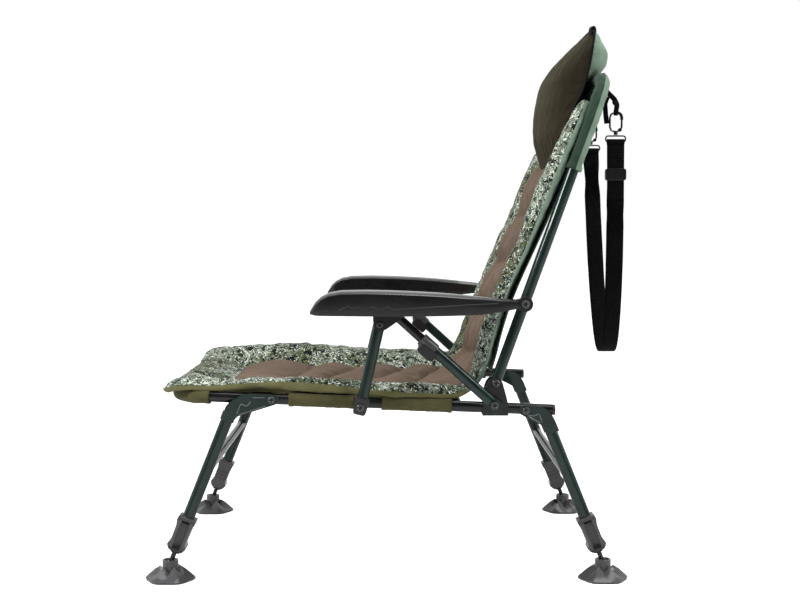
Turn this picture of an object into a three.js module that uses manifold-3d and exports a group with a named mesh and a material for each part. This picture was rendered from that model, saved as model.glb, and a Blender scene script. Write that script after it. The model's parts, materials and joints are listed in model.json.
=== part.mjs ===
// A folding high-back fishing chair: tube frame, quilted mattress, reclining back with linked armrests,
// two folding leg pairs with telescopic legs, cam locks and ball-jointed mud feet.
// Millimetres. +X is the sitter's left, -Y the front, +Z up. The origin is on the ground, mid-way.
import * as THREE from "three";
import { mergeVertices } from "three/addons/utils/BufferGeometryUtils.js";
import Module from "manifold-3d";

const wasm = await Module();
wasm.setup();

// Driving dimensions: a yz() pair is a place in the side view.
const yz = (y, z) => ({ y, z });
const gap = 0.3; // left between pieces that touch
const railX = 258; // plane of each seat rail, back tube and leg
const tubeR = 9; // seat and back tubes, 18 mm across
const pinR = 4;
const pinHoleR = 4.7;
const railFront = yz(-352, 302.3);
const railRear = yz(264.5, 277.2);
const frameBend = 58;
const backPivot = yz(167.5, 322);
const armHub = yz(213.3, 450.3);
const strutFoot = yz(-50.5, 285.6);
const strutHead = yz(-19.5, 418.8);
const reclineFoot = yz(164.1, 289);
const reclineHead = yz(1, 437.4);
const strutX = 282; // plane of the front strut and of the recline strut
const armX = 289;
const backTop = yz(345.2, 816);
const backBend = 72;
const legR = 10;
const legBoreR = 8.7;
const innerLegR = 8;
const legTilt = THREE.MathUtils.degToRad(21.8);
const frontLeg = {
  name: "front",
  facing: -1,
  top: yz(-257.9, 285.6),
  pivot: yz(-194, 295.2),
  braceAt: 116,
  sleeveEnd: 27,
};
const rearLeg = {
  name: "rear",
  facing: 1,
  top: yz(244.2, 277.1),
  pivot: yz(216, 278),
  braceAt: 123,
  sleeveEnd: 35,
};
const ballHeight = 27; // centre of each foot's ball above the ground
const footR = 41.2;
const collarLength = 60;

// Colours and finishes
const finish = (color, roughness, metalness = 0) =>
  new THREE.MeshStandardMaterial({ color, roughness, metalness });
const darkGreen = finish(0x16241f, 0.35, 0.5);
const blackMetal = finish(0x17181a, 0.4, 0.7);
const blackPlastic = finish(0x1d1a1d, 0.45);
const greyPlastic = finish(0x37373a, 0.55);
const oliveCloth = finish(0x6a683c, 0.9);
const sageCloth = finish(0x7d9a80, 0.9);
const camoCloth = finish(0x6f7c68, 0.9);
const brownFleece = finish(0x332c22, 1);
const blackWebbing = finish(0x0b0b0c, 0.85);

// Solids and meshes
function solid(geometry) {
  const bare = new THREE.BufferGeometry();
  bare.setAttribute("position", geometry.getAttribute("position"));
  if (geometry.index) bare.setIndex(geometry.index);
  const merged = mergeVertices(bare, 1e-3);
  return new wasm.Manifold(
    new wasm.Mesh({
      numProp: 3,
      vertProperties: merged.getAttribute("position").array,
      triVerts: new Uint32Array(merged.index.array),
    }),
  );
}

function mesh(name, shape, material) {
  const { vertProperties, triVerts } = shape.getMesh();
  const indexed = new THREE.BufferGeometry();
  indexed.setAttribute("position", new THREE.BufferAttribute(new Float32Array(vertProperties), 3));
  indexed.setIndex(new THREE.BufferAttribute(new Uint32Array(triVerts), 1));
  const geometry = indexed.toNonIndexed();
  geometry.computeVertexNormals();
  const made = new THREE.Mesh(geometry, material);
  made.name = name;
  return made;
}

const join = (...shapes) => shapes.reduce((a, b) => a.add(b));
const cut = (shape, ...tools) => tools.reduce((a, b) => a.subtract(b), shape);

// A tube's centre line: straight runs joined by arcs of one bend radius.
class BentLine extends THREE.Curve {
  constructor(corners, bendRadius = 0, arcSteps = 4) {
    super();
    const heading = (i) => corners[i + 1].clone().sub(corners[i]).normalize();
    const last = corners.length - 1;
    this.stations = [{ point: corners[0], along: heading(0) }];
    for (let i = 1; i < last; i++) {
      const before = heading(i - 1);
      const turn = before.angleTo(heading(i));
      const axis = before.clone().cross(heading(i)).normalize();
      const inward = axis.clone().cross(before);
      const start = corners[i].clone().addScaledVector(before, -bendRadius * Math.tan(turn / 2));
      const centre = start.clone().addScaledVector(inward, bendRadius);
      for (let k = 0; k <= arcSteps; k++) {
        const angle = (turn * k) / arcSteps;
        const out = inward.clone().negate().applyAxisAngle(axis, angle);
        const point = centre.clone().addScaledVector(out, bendRadius);
        this.stations.push({ point, along: before.clone().applyAxisAngle(axis, angle) });
      }
    }
    this.stations.push({ point: corners[last], along: heading(last - 1) });
    this.steps = this.stations.length - 1;
  }
  getPointAt(u) {
    return this.stations[Math.round(u * this.steps)].point.clone();
  }
  getTangentAt(u) {
    return this.stations[Math.round(u * this.steps)].along.clone();
  }
}

const polygon = (radius, sides) =>
  Array.from({ length: sides }, (_, i) => {
    const angle = (2 * Math.PI * (i + 0.5)) / sides;
    return new THREE.Vector2(radius * Math.cos(angle), radius * Math.sin(angle));
  });

function tube(line, radius, { bore = 0, sides = 12 } = {}) {
  const shape = new THREE.Shape(polygon(radius, sides));
  if (bore) shape.holes.push(new THREE.Path(polygon(bore, sides)));
  return solid(new THREE.ExtrudeGeometry(shape, { extrudePath: line, steps: line.steps }));
}

const at = (x, p, dz = 0) => new THREE.Vector3(x, p.y, p.z + dz);
const v3 = (x, y, z) => new THREE.Vector3(x, y, z);
const rod = (from, to, radius, options) => tube(new BentLine([from, to]), radius, options);
// A pin or a hole along X at a place in the side view.
const pin = (p, x0, x1, radius, sides = 10) => rod(at(x0, p), at(x1, p), radius, { sides });

// An outline in the side view (y, z, corner radius), drawn out along X from x0 to x1.
function rounded(corners, arcSteps = 2) {
  const points = [];
  corners.forEach(([y, z, r = 0], i) => {
    const here = new THREE.Vector2(y, z);
    if (!r) return points.push(here);
    const [py, pz] = corners[(i + corners.length - 1) % corners.length];
    const [ny, nz] = corners[(i + 1) % corners.length];
    const before = new THREE.Vector2(py, pz).sub(here);
    const after = new THREE.Vector2(ny, nz).sub(here);
    const reach = Math.min(r, 0.45 * before.length(), 0.45 * after.length());
    const from = before.normalize().multiplyScalar(reach).add(here);
    const to = after.normalize().multiplyScalar(reach).add(here);
    points.push(...new THREE.QuadraticBezierCurve(from, here, to).getPoints(arcSteps));
  });
  return new THREE.Shape(points);
}
const sideView = new THREE.Matrix4().makeBasis(v3(0, 1, 0), v3(0, 0, 1), v3(1, 0, 0));
function slab(outline, x0, x1) {
  const shape = outline instanceof THREE.Shape ? outline : rounded(outline);
  const drawn = new THREE.ExtrudeGeometry(shape, { depth: x1 - x0, bevelEnabled: false, steps: 1 });
  return solid(drawn.applyMatrix4(sideView).translate(x0, 0, 0));
}
// An outline in the front view (x, z, corner radius), drawn out along Y from y0 to y1.
const frontView = new THREE.Matrix4().makeBasis(v3(1, 0, 0), v3(0, 0, 1), v3(0, -1, 0));
function frontSlab(outline, y0, y1) {
  const shape = outline instanceof THREE.Shape ? outline : rounded(outline);
  const drawn = new THREE.ExtrudeGeometry(shape, { depth: y1 - y0, bevelEnabled: false, steps: 1 });
  return solid(drawn.applyMatrix4(frontView).translate(0, y1, 0));
}
const block = (x0, x1, y0, y1, z0, z1) =>
  solid(
    new THREE.BoxGeometry(x1 - x0, y1 - y0, z1 - z0).translate(
      (x0 + x1) / 2,
      (y0 + y1) / 2,
      (z0 + z1) / 2,
    ),
  );

// Closed skin over rings of points: rings[i][j], all of one length, with a flat cap at each end.
function loft(rings, capFaces) {
  const count = rings[0].length;
  const position = rings.flat().flatMap((p) => [p.x, p.y, p.z]);
  const index = [];
  const face = (a, b, c) => index.push(a, b, c);
  for (let i = 0; i + 1 < rings.length; i++)
    for (let j = 0; j < count; j++) {
      const a = i * count + j;
      const b = i * count + ((j + 1) % count);
      face(a, b, b + count);
      face(a, b + count, a + count);
    }
  const end = (rings.length - 1) * count;
  for (const [a, b, c] of capFaces) {
    face(a, c, b);
    face(end + a, end + b, end + c);
  }
  const geometry = new THREE.BufferGeometry();
  geometry.setAttribute("position", new THREE.BufferAttribute(new Float32Array(position), 3));
  geometry.setIndex(index);
  const made = solid(geometry);
  return made.volume() > 0 ? made : solid(flipped(geometry));
}
function flipped(geometry) {
  const index = [...geometry.index.array];
  for (let i = 0; i < index.length; i += 3) [index[i + 1], index[i + 2]] = [index[i + 2], index[i + 1]];
  return geometry.clone().setIndex(index);
}
const fan = (count) => Array.from({ length: count - 2 }, (_, i) => [0, i + 1, i + 2]);

// A flat band: its middle line, and at each point the direction of its width and of its thickness.
function band(points, widthDirections, width, thickness) {
  const rings = points.map((point, i) => {
    const before = points[Math.max(i - 1, 0)];
    const after = points[Math.min(i + 1, points.length - 1)];
    const along = after.clone().sub(before).normalize();
    const across = widthDirections(i / (points.length - 1));
    const out = along.clone().cross(across).normalize();
    const corner = (a, b) =>
      point.clone().addScaledVector(across, (a * width) / 2).addScaledVector(out, (b * thickness) / 2);
    return [corner(1, 1), corner(-1, 1), corner(-1, -1), corner(1, -1)];
  });
  return loft(rings, fan(4));
}

// Smooth curve through [place, value] pairs, level beyond its ends
function through(pairs) {
  const slope = (i) => {
    const [p0, v0] = pairs[Math.max(i - 1, 0)];
    const [p1, v1] = pairs[Math.min(i + 1, pairs.length - 1)];
    return (v1 - v0) / (p1 - p0);
  };
  return (place) => {
    const i = pairs.findIndex(([p]) => p > place);
    if (i === 0) return pairs[0][1];
    if (i < 0) return pairs[pairs.length - 1][1];
    const [[p0, v0], [p1, v1]] = [pairs[i - 1], pairs[i]];
    const run = p1 - p0;
    const t = (place - p0) / run;
    const ease = t * t * (3 - 2 * t);
    const bend = slope(i - 1) * t * (1 - t) ** 2 - slope(i) * t * t * (1 - t);
    return v0 + (v1 - v0) * ease + run * bend;
  };
}

const chair = new THREE.Group();
const left = new THREE.Group();
const right = new THREE.Group();
right.scale.x = -1;
chair.add(left, right);
const sides = [
  ["left", left],
  ["right", right],
];
// A piece that both sides have: one solid, and a mesh on each side.
function pair(name, shape, material) {
  for (const [side, group] of sides) group.add(mesh(name + "_" + side, shape, material));
}
const both = (shape) => shape.add(shape.mirror([1, 0, 0]));

const railSlope = (railRear.z - railFront.z) / (railRear.y - railFront.y);
const onRail = (y) => yz(y, railFront.z + railSlope * (y - railFront.y));
const railLine = (reach) =>
  new BentLine(
    [at(railX, onRail(reach)), at(railX, railFront), at(-railX, railFront), at(-railX, onRail(reach))],
    frameBend,
  );

// Seat frame: the U tube with the pins that carry the legs and struts
function seatFrame() {
  const strutPin = join(
    pin(strutFoot, railX, strutX + 12, pinR),
    pin(strutFoot, strutX + 11.2, strutX + 14, 6.2),
  );
  const legPins = [frontLeg.pivot, rearLeg.pivot].map((p) =>
    join(pin(p, railX - 15, railX + 15, pinR), pin(p, railX + 13.2, railX + 15.6, 6)),
  );
  const tubes = join(tube(railLine(railRear.y - 3.7), tubeR), both(join(strutPin, ...legPins)));
  chair.add(mesh("seat_frame_tube", tubes, darkGreen));

  const crossY = 106;
  const reach = railX - tubeR - gap;
  const cross = rod(at(-reach, onRail(crossY)), at(reach, onRail(crossY)), 8);
  chair.add(mesh("rear_cross_tube", cross, darkGreen));

  const plugProfile = [
    [0, 0],
    [tubeR, 0],
    [tubeR, 2],
    [tubeR - 1.2, 3],
    [0, 3],
  ].map(([r, h]) => new THREE.Vector2(r, h));
  const plug = solid(
    new THREE.LatheGeometry(plugProfile, 12).translate(railX, 0, 0).applyMatrix4(
      new THREE.Matrix4().makeTranslation(0, railRear.y - 3.1, railRear.z),
    ),
  );
  pair("rail_plug", plug, blackPlastic);
}

// Folded plate over each rail, with the back pivot above and the recline strut's pin outside
function hingePlates() {
  const outer = [
    [145.6, 269.6, 1],
    [187.6, 269.6, 1],
    [187, 290, 6],
    [182.6, 308, 8],
    [175.5, 331, 9],
    [157, 331, 9],
    [150, 318, 6],
    [147, 292, 4],
  ];
  const earIn = tubeR + 1.2;
  const earOut = earIn + 2.4;
  const plate = cut(
    slab(outer, railX - earOut, railX + earOut),
    block(railX - earIn, railX + earIn, 130, 200, 271.5, 345),
  );
  const pins = join(
    pin(backPivot, railX - earOut + 0.4, railX + earOut + 1.8, pinR),
    pin(backPivot, railX + earOut - 0.4, railX + earOut + 1.8, 6.4, 12),
    pin(reclineFoot, railX + earOut - 0.6, strutX + 12.4, pinR),
    pin(reclineFoot, strutX + 10.2, strutX + 12.6, 6.2),
  );
  pair("hinge_plate", join(plate, pins), blackMetal);
}

// Seat cloth: a sagging sheet with a pocket round the front of the frame and two sleeves on each rail
function seatSling() {
  const sheetFront = railFront.y + 9;
  const sheetRear = 97;
  const sag = 11;
  const thickness = 2;
  const halfWidth = railX - 8.5;
  const across = 8;
  const height = (x, y) => onRail(y).z - 4 - sag * (1 - (x / halfWidth) ** 2);
  const section = (y) => {
    const upper = [];
    const lower = [];
    for (let i = 0; i <= across; i++) {
      const x = halfWidth * ((2 * i) / across - 1);
      upper.push(v3(x, y, height(x, y) + thickness / 2));
      lower.unshift(v3(x, y, height(x, y) - thickness / 2));
    }
    return [...upper, ...lower];
  };
  const count = 2 * (across + 1);
  const strips = Array.from({ length: across }, (_, i) => [
    [i, i + 1, count - 2 - i],
    [i, count - 2 - i, count - 1 - i],
  ]).flat();
  const sheet = loft([section(sheetFront), section(sheetRear)], strips);
  // Between the sleeves the edge is cut back to clear the leg brackets, the strut and its pin.
  const notch = (y0, y1) => both(block(railX - 24, railX, y0, y1, 240, 320));
  const cutSheet = cut(
    sheet,
    notch(-292, -167),
    notch(-60, -18),
    tube(railLine(-250), tubeR + gap, { sides: 12 }),
    rod(at(railX, onRail(-260)), at(railX, onRail(150)), tubeR + gap),
    rod(at(-railX, onRail(-260)), at(-railX, onRail(150)), tubeR + gap),
  );
  const sleeveR = tubeR + 2;
  const sleeveBore = { bore: tubeR + 0.6, sides: 12 };
  const sleeve = (y0, y1) => rod(at(railX, onRail(y0)), at(railX, onRail(y1)), sleeveR, sleeveBore);
  const pocket = tube(railLine(-296), sleeveR, sleeveBore);
  const sleeves = both(join(sleeve(-167, -60), sleeve(-17, 97)));
  chair.add(mesh("seat_sling", join(cutSheet, pocket, sleeves), oliveCloth));
}

// Quilted pad over a spine in the side view. spine(v) gives the place and the direction out of its face.
function quiltedPad({ spine, halfWidth, lift, underside, seams, alongSteps, acrossSteps }) {
  const us = Array.from({ length: acrossSteps + 1 }, (_, i) => (2 * i) / acrossSteps - 1);
  const spread = (u) => Math.sign(u) * (1 - (1 - Math.abs(u)) ** 1.25);
  const point = (u, v, height) => {
    const { place, out } = spine(v);
    return v3(spread(u) * halfWidth(v), place.y + out.y * height, place.z + out.z * height);
  };
  const thinnest = 5;
  const channel = (u, v) => seams.reduce((deep, seam) => Math.min(deep, seam(spread(u), v)), 0);
  const rings = [];
  for (let i = 0; i <= alongSteps; i++) {
    const v = i / alongSteps;
    const ends = Math.min(v, 1 - v) / 0.035;
    const swell = Math.sqrt(Math.min(1, 0.55 + 0.45 * ends));
    const bottom = (u) => underside(spread(u), v);
    const top = (u) => Math.max(lift(spread(u), v) * swell + channel(u, v), bottom(u) + thinnest);
    const upper = us.map((u) => point(u, v, top(u)));
    const lower = us.map((u) => point(u, v, bottom(u)));
    const drawnIn = (u) => {
      const mid = point(u, v, (lift(u, v) * swell + underside(u, v)) / 2);
      mid.x -= Math.sign(u) * 2.5;
      return mid;
    };
    rings.push([...upper, drawnIn(1), ...lower.reverse(), drawnIn(-1)]);
  }
  const n = us.length;
  const count = 2 * n + 2;
  const caps = [];
  for (let i = 0; i + 1 < n; i++) {
    const below = 2 * n - i;
    caps.push([i, i + 1, below - 1], [i, below - 1, below]);
  }
  caps.push([0, 2 * n, count - 1], [n - 1, n, n + 1]);
  return loft(rings, caps);
}

// A sewn channel across the pad: it slants and bows, and fades out in the border.
function seam(place, slant, bow, reach = 0.7) {
  const depth = 7;
  const half = 0.045;
  return (x, v) => {
    if (Math.abs(x) > reach + 0.08) return 0;
    const line = place + slant * x + bow * (1 - (x / reach) ** 2);
    const fade = Math.min(1, (reach + 0.08 - Math.abs(x)) / 0.16);
    return -depth * fade * Math.max(0, 1 - Math.abs(v - line) / half);
  };
}
// Height over a pad's base from its right edge to its left one: each [edge, crest, panel], and the middle
const padHeight = (right, left, middle) =>
  through([
    [-1, right[0]],
    [-0.88, right[1]],
    [-0.7, right[2] + 1],
    [-0.62, right[2]],
    [0, middle],
    [0.62, left[2]],
    [0.7, left[2] + 1],
    [0.88, left[1]],
    [1, left[0]],
  ]);

// A line through places in the side view, with the direction square to it
function sideLine(places, outward) {
  const curve = new THREE.CatmullRomCurve3(places.map((p) => v3(0, p.y, p.z)));
  return (v) => {
    const place = curve.getPointAt(v);
    const along = curve.getTangentAt(v);
    return { place, out: yz(-outward * along.z, outward * along.y) };
  };
}

const seatBase = [
  yz(-374, 308),
  yz(-354, 314.2),
  yz(-330, 313.4),
  yz(-286, 311.2),
  yz(-245, 311.4),
  yz(-205, 311.4),
  yz(-148, 308.2),
  yz(-100, 305.6),
  yz(-50, 303),
  yz(0, 300.6),
  yz(50, 298.6),
  yz(105, 296.6),
];
const backBase = [
  yz(123, 304),
  yz(141, 322),
  yz(155, 352),
  yz(163, 387),
  yz(186, 461),
  yz(242, 588),
  yz(281, 680),
  yz(321, 776),
];

function seatMattress() {
  const height = padHeight([10, 27, 8], [7, 18, 6], 1);
  const fuller = through([
    [0, 0.85],
    [0.3, 1],
    [0.6, 1.04],
    [1, 1.1],
  ]);
  const frontRoll = 15; // how far the border along the front stands over the panel
  const noseIn = 26;
  const heelIn = 10;
  const belly = 11;
  const share = (from, to, v) => Math.min(1, Math.max(0, (v - from) / (to - from)));
  const pad = quiltedPad({
    spine: sideLine(seatBase, 1),
    halfWidth: (v) => 262 - noseIn * (1 - share(0, 0.07, v)) ** 2 - heelIn * share(0.85, 1, v),
    lift: (x, v) => {
      const front = frontRoll * (1 - share(0, 0.16, v)) * Math.max(0, 1 - Math.abs(x)) ** 0.4;
      const heel = Math.abs(x) > 0.8 ? 6 * share(0.9, 1, v) : 0;
      return height(x) * fuller(v) + front - heel;
    },
    underside: (x, v) => {
      const clear = Math.min(share(0.08, 0.22, v), 1 - share(0.86, 0.96, v));
      return -belly * clear * Math.max(0, 1 - (x / 0.86) ** 2) ** 0.7;
    },
    seams: [0.18, 0.38, 0.58, 0.78, 0.96].map((v) => seam(v, -0.08, 0.03)),
    alongSteps: 20,
    acrossSteps: 12,
  });
  chair.add(mesh("seat_mattress", pad, camoCloth));
}

// The pad leans to its right, so its right border is the lower one.
const backPadHeight = padHeight([7, 11, 9], [20, 27, 16], 9);
const rightFuller = through([
  [0, 1.6],
  [0.15, 1.5],
  [0.3, 1.2],
  [0.5, 0.85],
  [1, 0.7],
]);
const backPadUnder = (x) => -8 * Math.max(0, 1 - (x / 0.85) ** 2);
const backPadHalf = (v) => 258 - 12 * Math.max(0, 1 - v / 0.1) - 20 * Math.max(0, (v - 0.9) / 0.1) ** 2;
const backSpine = sideLine(backBase, 1);

function backMattress() {
  const underPillow = 9;
  const pad = quiltedPad({
    spine: backSpine,
    halfWidth: backPadHalf,
    lift: (x, v) => {
      const hollow = Math.abs(x) < 0.75 ? underPillow * Math.max(0, (v - 0.72) / 0.28) : 0;
      const share = Math.min(1, Math.max(0, (-x - 0.5) / 0.2));
      return backPadHeight(x) * (1 + (rightFuller(v) - 1) * share) - hollow;
    },
    underside: backPadUnder,
    seams: [0.04, 0.22, 0.4, 0.58, 0.76].map((v) => seam(v, 0.075, -0.03)),
    alongSteps: 20,
    acrossSteps: 12,
  });
  chair.add(mesh("back_mattress", pad, camoCloth));
}

// Back frame: the inverted U tube with the armrest pins
const backAlong = yz(backTop.y - backPivot.y, backTop.z - backPivot.z);
const backLength = Math.hypot(backAlong.y, backAlong.z);
const onBack = (distance) =>
  yz(
    backPivot.y + (backAlong.y * distance) / backLength,
    backPivot.z + (backAlong.z * distance) / backLength,
  );
const backLine = (start) =>
  new BentLine(
    [at(railX, onBack(start)), at(railX, backTop), at(-railX, backTop), at(-railX, onBack(start))],
    backBend,
    6,
  );

function backFrame() {
  const hubPin = join(pin(armHub, railX, railX + 28, pinR), pin(armHub, railX + 26.4, railX + 29, 6.4, 12));
  const frame = cut(
    join(tube(backLine(-11), tubeR), both(hubPin)),
    both(pin(backPivot, railX - 14, railX + 14, pinHoleR)),
  );
  chair.add(mesh("back_frame_tube", frame, darkGreen));
}

// Back cloth: a pocket over the top of the frame, a sheet behind the pad, and a web from each side to it
function backSling() {
  const pocketEnd = 365; // how far up the tubes the pocket's hem is
  const pocket = tube(backLine(pocketEnd), tubeR + 2, { bore: tubeR + 0.6 });
  const thickness = 2;
  const clear = 10;
  const steps = 12;
  const front = [];
  const back = [];
  for (let i = 0; i <= steps; i++) {
    const v = 0.08 + (0.92 * i) / steps;
    const { place, out } = backSpine(v);
    front.push([place.y - out.y * clear, place.z - out.z * clear]);
    back.unshift([place.y - out.y * (clear + thickness), place.z - out.z * (clear + thickness)]);
  }
  // The sheet's top is sewn to the pocket on the top tube, and its sides to the pocket above the hem.
  const top = [
    [backTop.y - 8.2, backTop.z - 6.2],
    [backTop.y - 6, backTop.z - 8.4],
  ];
  const loop = new THREE.Shape(
    backLine(0).stations.map(({ point }) => new THREE.Vector2(point.x, point.z)),
  );
  const hem = onBack(pocketEnd).z;
  const sheet = slab([...front, ...top, ...back], -railX, railX)
    .intersect(frontSlab(loop, 0, 420))
    .subtract(both(block(railX - 18, railX + 20, 0, 420, 250, hem)));
  const bare = tube(backLine(200), tubeR + 0.6);
  chair.add(mesh("back_sling", join(cut(sheet, bare), pocket), sageCloth));
}

// Pillow: a full front, a flat back where it lies on the pad, and a swollen back above the frame
function pillow() {
  const half = 182;
  const base = sideLine(
    [yz(254, 668), yz(279, 722), yz(301, 768), yz(319, 806), yz(328, 850), yz(336, 908)],
    1,
  );
  const front = through([
    [0, 0],
    [0.14, 14],
    [0.42, 44],
    [0.6, 52],
    [0.72, 46],
    [0.85, 24],
    [1, 0],
  ]);
  const rear = through([
    [0, 0],
    [0.64, 0],
    [0.75, 26],
    [0.84, 40],
    [0.92, 32],
    [1, 0],
  ]);
  const columns = 12;
  const rows = 12;
  const seamEdge = 1.2; // half the thickness that stays at the seams
  const waist = 0.03;
  const rings = [];
  for (let i = 0; i <= columns; i++) {
    const x = (2 * i) / columns - 1;
    const swell = Math.max(0, 1 - Math.abs(x) ** 3.4) ** 0.5;
    const end = Math.abs(x) === 1;
    const pinch = 1 - 0.05 * (1 - Math.abs(x) ** 3);
    const point = (v, out) => {
      const line = base(0.5 + (v - 0.5) * pinch);
      const across = x * half * (1 - waist * Math.sin(Math.PI * v));
      return v3(across, line.place.y + line.out.y * out, line.place.z + line.out.z * out);
    };
    const heights = Array.from({ length: rows + 1 }, (_, j) => j / rows);
    const face = (v) => (end ? seamEdge * Math.sin(Math.PI * v) + 0.4 : front(v) * swell + seamEdge);
    const over = heights.map((v) => point(v, face(v)));
    const under = heights.map((v) => point(v, end ? 0 : -rear(v) * swell)).reverse();
    rings.push([...over, ...under]);
  }
  const count = 2 * (rows + 1);
  const caps = [];
  for (let j = 0; j < rows; j++) caps.push([j, j + 1, count - 2 - j], [j, count - 2 - j, count - 1 - j]);
  chair.add(mesh("pillow", loft(rings, caps), brownFleece));
  // A small loop sewn to each top corner
  const corner = yz(336, 906);
  const loop = slab(
    [
      [corner.y - 4, corner.z + 3.5],
      [corner.y - 5, corner.z + 10, 2],
      [corner.y, corner.z + 14, 3],
      [corner.y + 5, corner.z + 10, 2],
      [corner.y + 4, corner.z + 3.5],
    ],
    half - 16,
    half - 4,
  );
  pair("pillow_loop", loop, blackWebbing);
}

// Armrest: a moulded shell, open below, that thins to a round hub on the back tube
function armrests() {
  const top = through([
    [-130, 441],
    [-121, 456],
    [-106, 467],
    [-86, 472.5],
    [-30, 473.5],
    [60, 470],
    [120, 465],
    [171, 459.5],
    [203, 457.5],
  ]);
  const outerFoot = through([
    [-130, 436],
    [-118, 434],
    [140, 434.5],
    [203, 443.5],
  ]);
  const innerFoot = through([
    [-130, 438],
    [-110, 444],
    [130, 443],
    [203, 444],
  ]);
  const halfWidth = through([
    [-130, 15],
    [-122, 23],
    [-104, 28],
    [40, 28.5],
    [130, 20],
    [203, 7.6],
  ]);
  const middle = through([
    [-130, armX],
    [40, armX],
    [203, railX + tubeR + 9.4],
  ]);
  const hollow = through([
    [-130, 0],
    [-118, 0],
    [-96, 1],
    [150, 1],
    [185, 0],
    [203, 0],
  ]);
  const wall = 3;
  const places = [-130, -127, -121, -112, -100, -80, -40, 0, 40, 80, 112, 142, 172, 203];
  const rings = places.map((y) => {
    const [w, zt, zo, zi, c, h] = [halfWidth, top, outerFoot, innerFoot, middle, hollow].map((f) => f(y));
    const shoulder = Math.min(9, (zt - zo) * 0.45);
    const roof = zt - wall - 1;
    const ceiling = (foot) => foot + 0.4 + Math.max(0, roof - 3 - foot) * Math.min(1, h);
    const inner = Math.max(1, w - wall);
    return [
      v3(c + w * 0.97, y, zo),
      v3(c + w, y, zo + (zt - shoulder - zo) * 0.6),
      v3(c + w * 0.95, y, zt - shoulder * 0.55),
      v3(c + w * 0.78, y, zt - 1.6),
      v3(c + w * 0.35, y, zt),
      v3(c - w * 0.35, y, zt),
      v3(c - w * 0.78, y, zt - 1.6),
      v3(c - w * 0.95, y, zt - shoulder * 0.55),
      v3(c - w, y, zi + 1),
      v3(c - w * 0.97, y, zi),
      v3(c - inner, y, zi),
      v3(c - inner * 0.96, y, Math.max(zi + 0.4, ceiling(zi))),
      v3(c - inner * 0.6, y, Math.max(zi + 0.4, ceiling(zi) + 2.5 * h)),
      v3(c + inner * 0.6, y, Math.max(zo + 0.4, ceiling(zo) + 2.5 * h)),
      v3(c + inner * 0.96, y, Math.max(zo + 0.4, ceiling(zo))),
      v3(c + inner, y, zo),
    ];
  });
  const contour = rings[0].map((p) => new THREE.Vector2(p.x, p.z));
  const caps = THREE.ShapeUtils.triangulateShape(contour, []);
  const hubX = railX + tubeR + 0.8;
  const hub = pin(armHub, hubX, hubX + 16, 12.2, 16);
  const rim = pin(armHub, hubX + 15.6, hubX + 18, 9.6, 16);
  const neck = slab(
    [
      [198, 443.5],
      [216, 440],
      [216, 461],
      [198, 457.6],
    ],
    hubX + 1,
    hubX + 15,
  );
  const shell = cut(
    join(loft(rings, caps), hub, rim, neck),
    pin(armHub, hubX - 3, hubX + 30, pinHoleR + 0.1),
    pin(armHub, hubX + 14.4, hubX + 30, 7.2, 12),
  );
  pair("armrest", shell, blackPlastic);

  // Channel bracket in the shell, with the strut's and the recline rod's head between its cheeks
  const outline = [
    [-31, 462, 2],
    [-30, 420, 5],
    [-25, 409.5, 5],
    [-13, 408.5, 5],
    [5, 421, 3],
    [24, 434, 2],
    [24, 462, 2],
  ];
  const cheekIn = 10.2;
  const cheekOut = 12.6;
  const bracket = cut(
    slab(outline, strutX - cheekOut, strutX + cheekOut),
    block(strutX - cheekIn, strutX + cheekIn, -60, 60, 400, 459.6),
  );
  const heads = join(
    pin(strutHead, strutX + cheekOut - 0.4, strutX + cheekOut + 2.2, 5.6),
    pin(strutHead, strutX - cheekOut - 2.2, strutX - cheekOut + 0.4, 5.6),
  );
  pair("arm_bracket", join(bracket, heads), blackMetal);
}

// Front strut: the tube and the cap at its foot, which turns on the rail's pin
function frontStruts() {
  const length = Math.hypot(strutHead.y - strutFoot.y, strutHead.z - strutFoot.z);
  const along = yz((strutHead.y - strutFoot.y) / length, (strutHead.z - strutFoot.z) / length);
  const place = (d, side = 0) =>
    yz(strutFoot.y + along.y * d + along.z * side, strutFoot.z + along.z * d - along.y * side);
  const socketFoot = 7;
  const socketEnd = 16;
  const strut = rod(at(strutX, place(socketFoot + 0.4)), at(strutX, place(length + 6)), tubeR);
  pair("front_strut_tube", strut, darkGreen);
  const corner = (d, side, r) => {
    const p = place(d, side);
    return [p.y, p.z, r];
  };
  const outline = [
    corner(-12, -10, 4),
    corner(-12, 10, 4),
    corner(socketEnd, 12.4, 2),
    corner(socketEnd, -12.4, 2),
  ];
  const cap = cut(
    slab(outline, strutX - 11, strutX + 11),
    rod(at(strutX, place(socketFoot)), at(strutX, place(40)), tubeR + gap),
    pin(strutFoot, strutX - 20, strutX + 20, pinHoleR),
  );
  pair("front_strut_cap", cap, blackPlastic);
}

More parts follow.
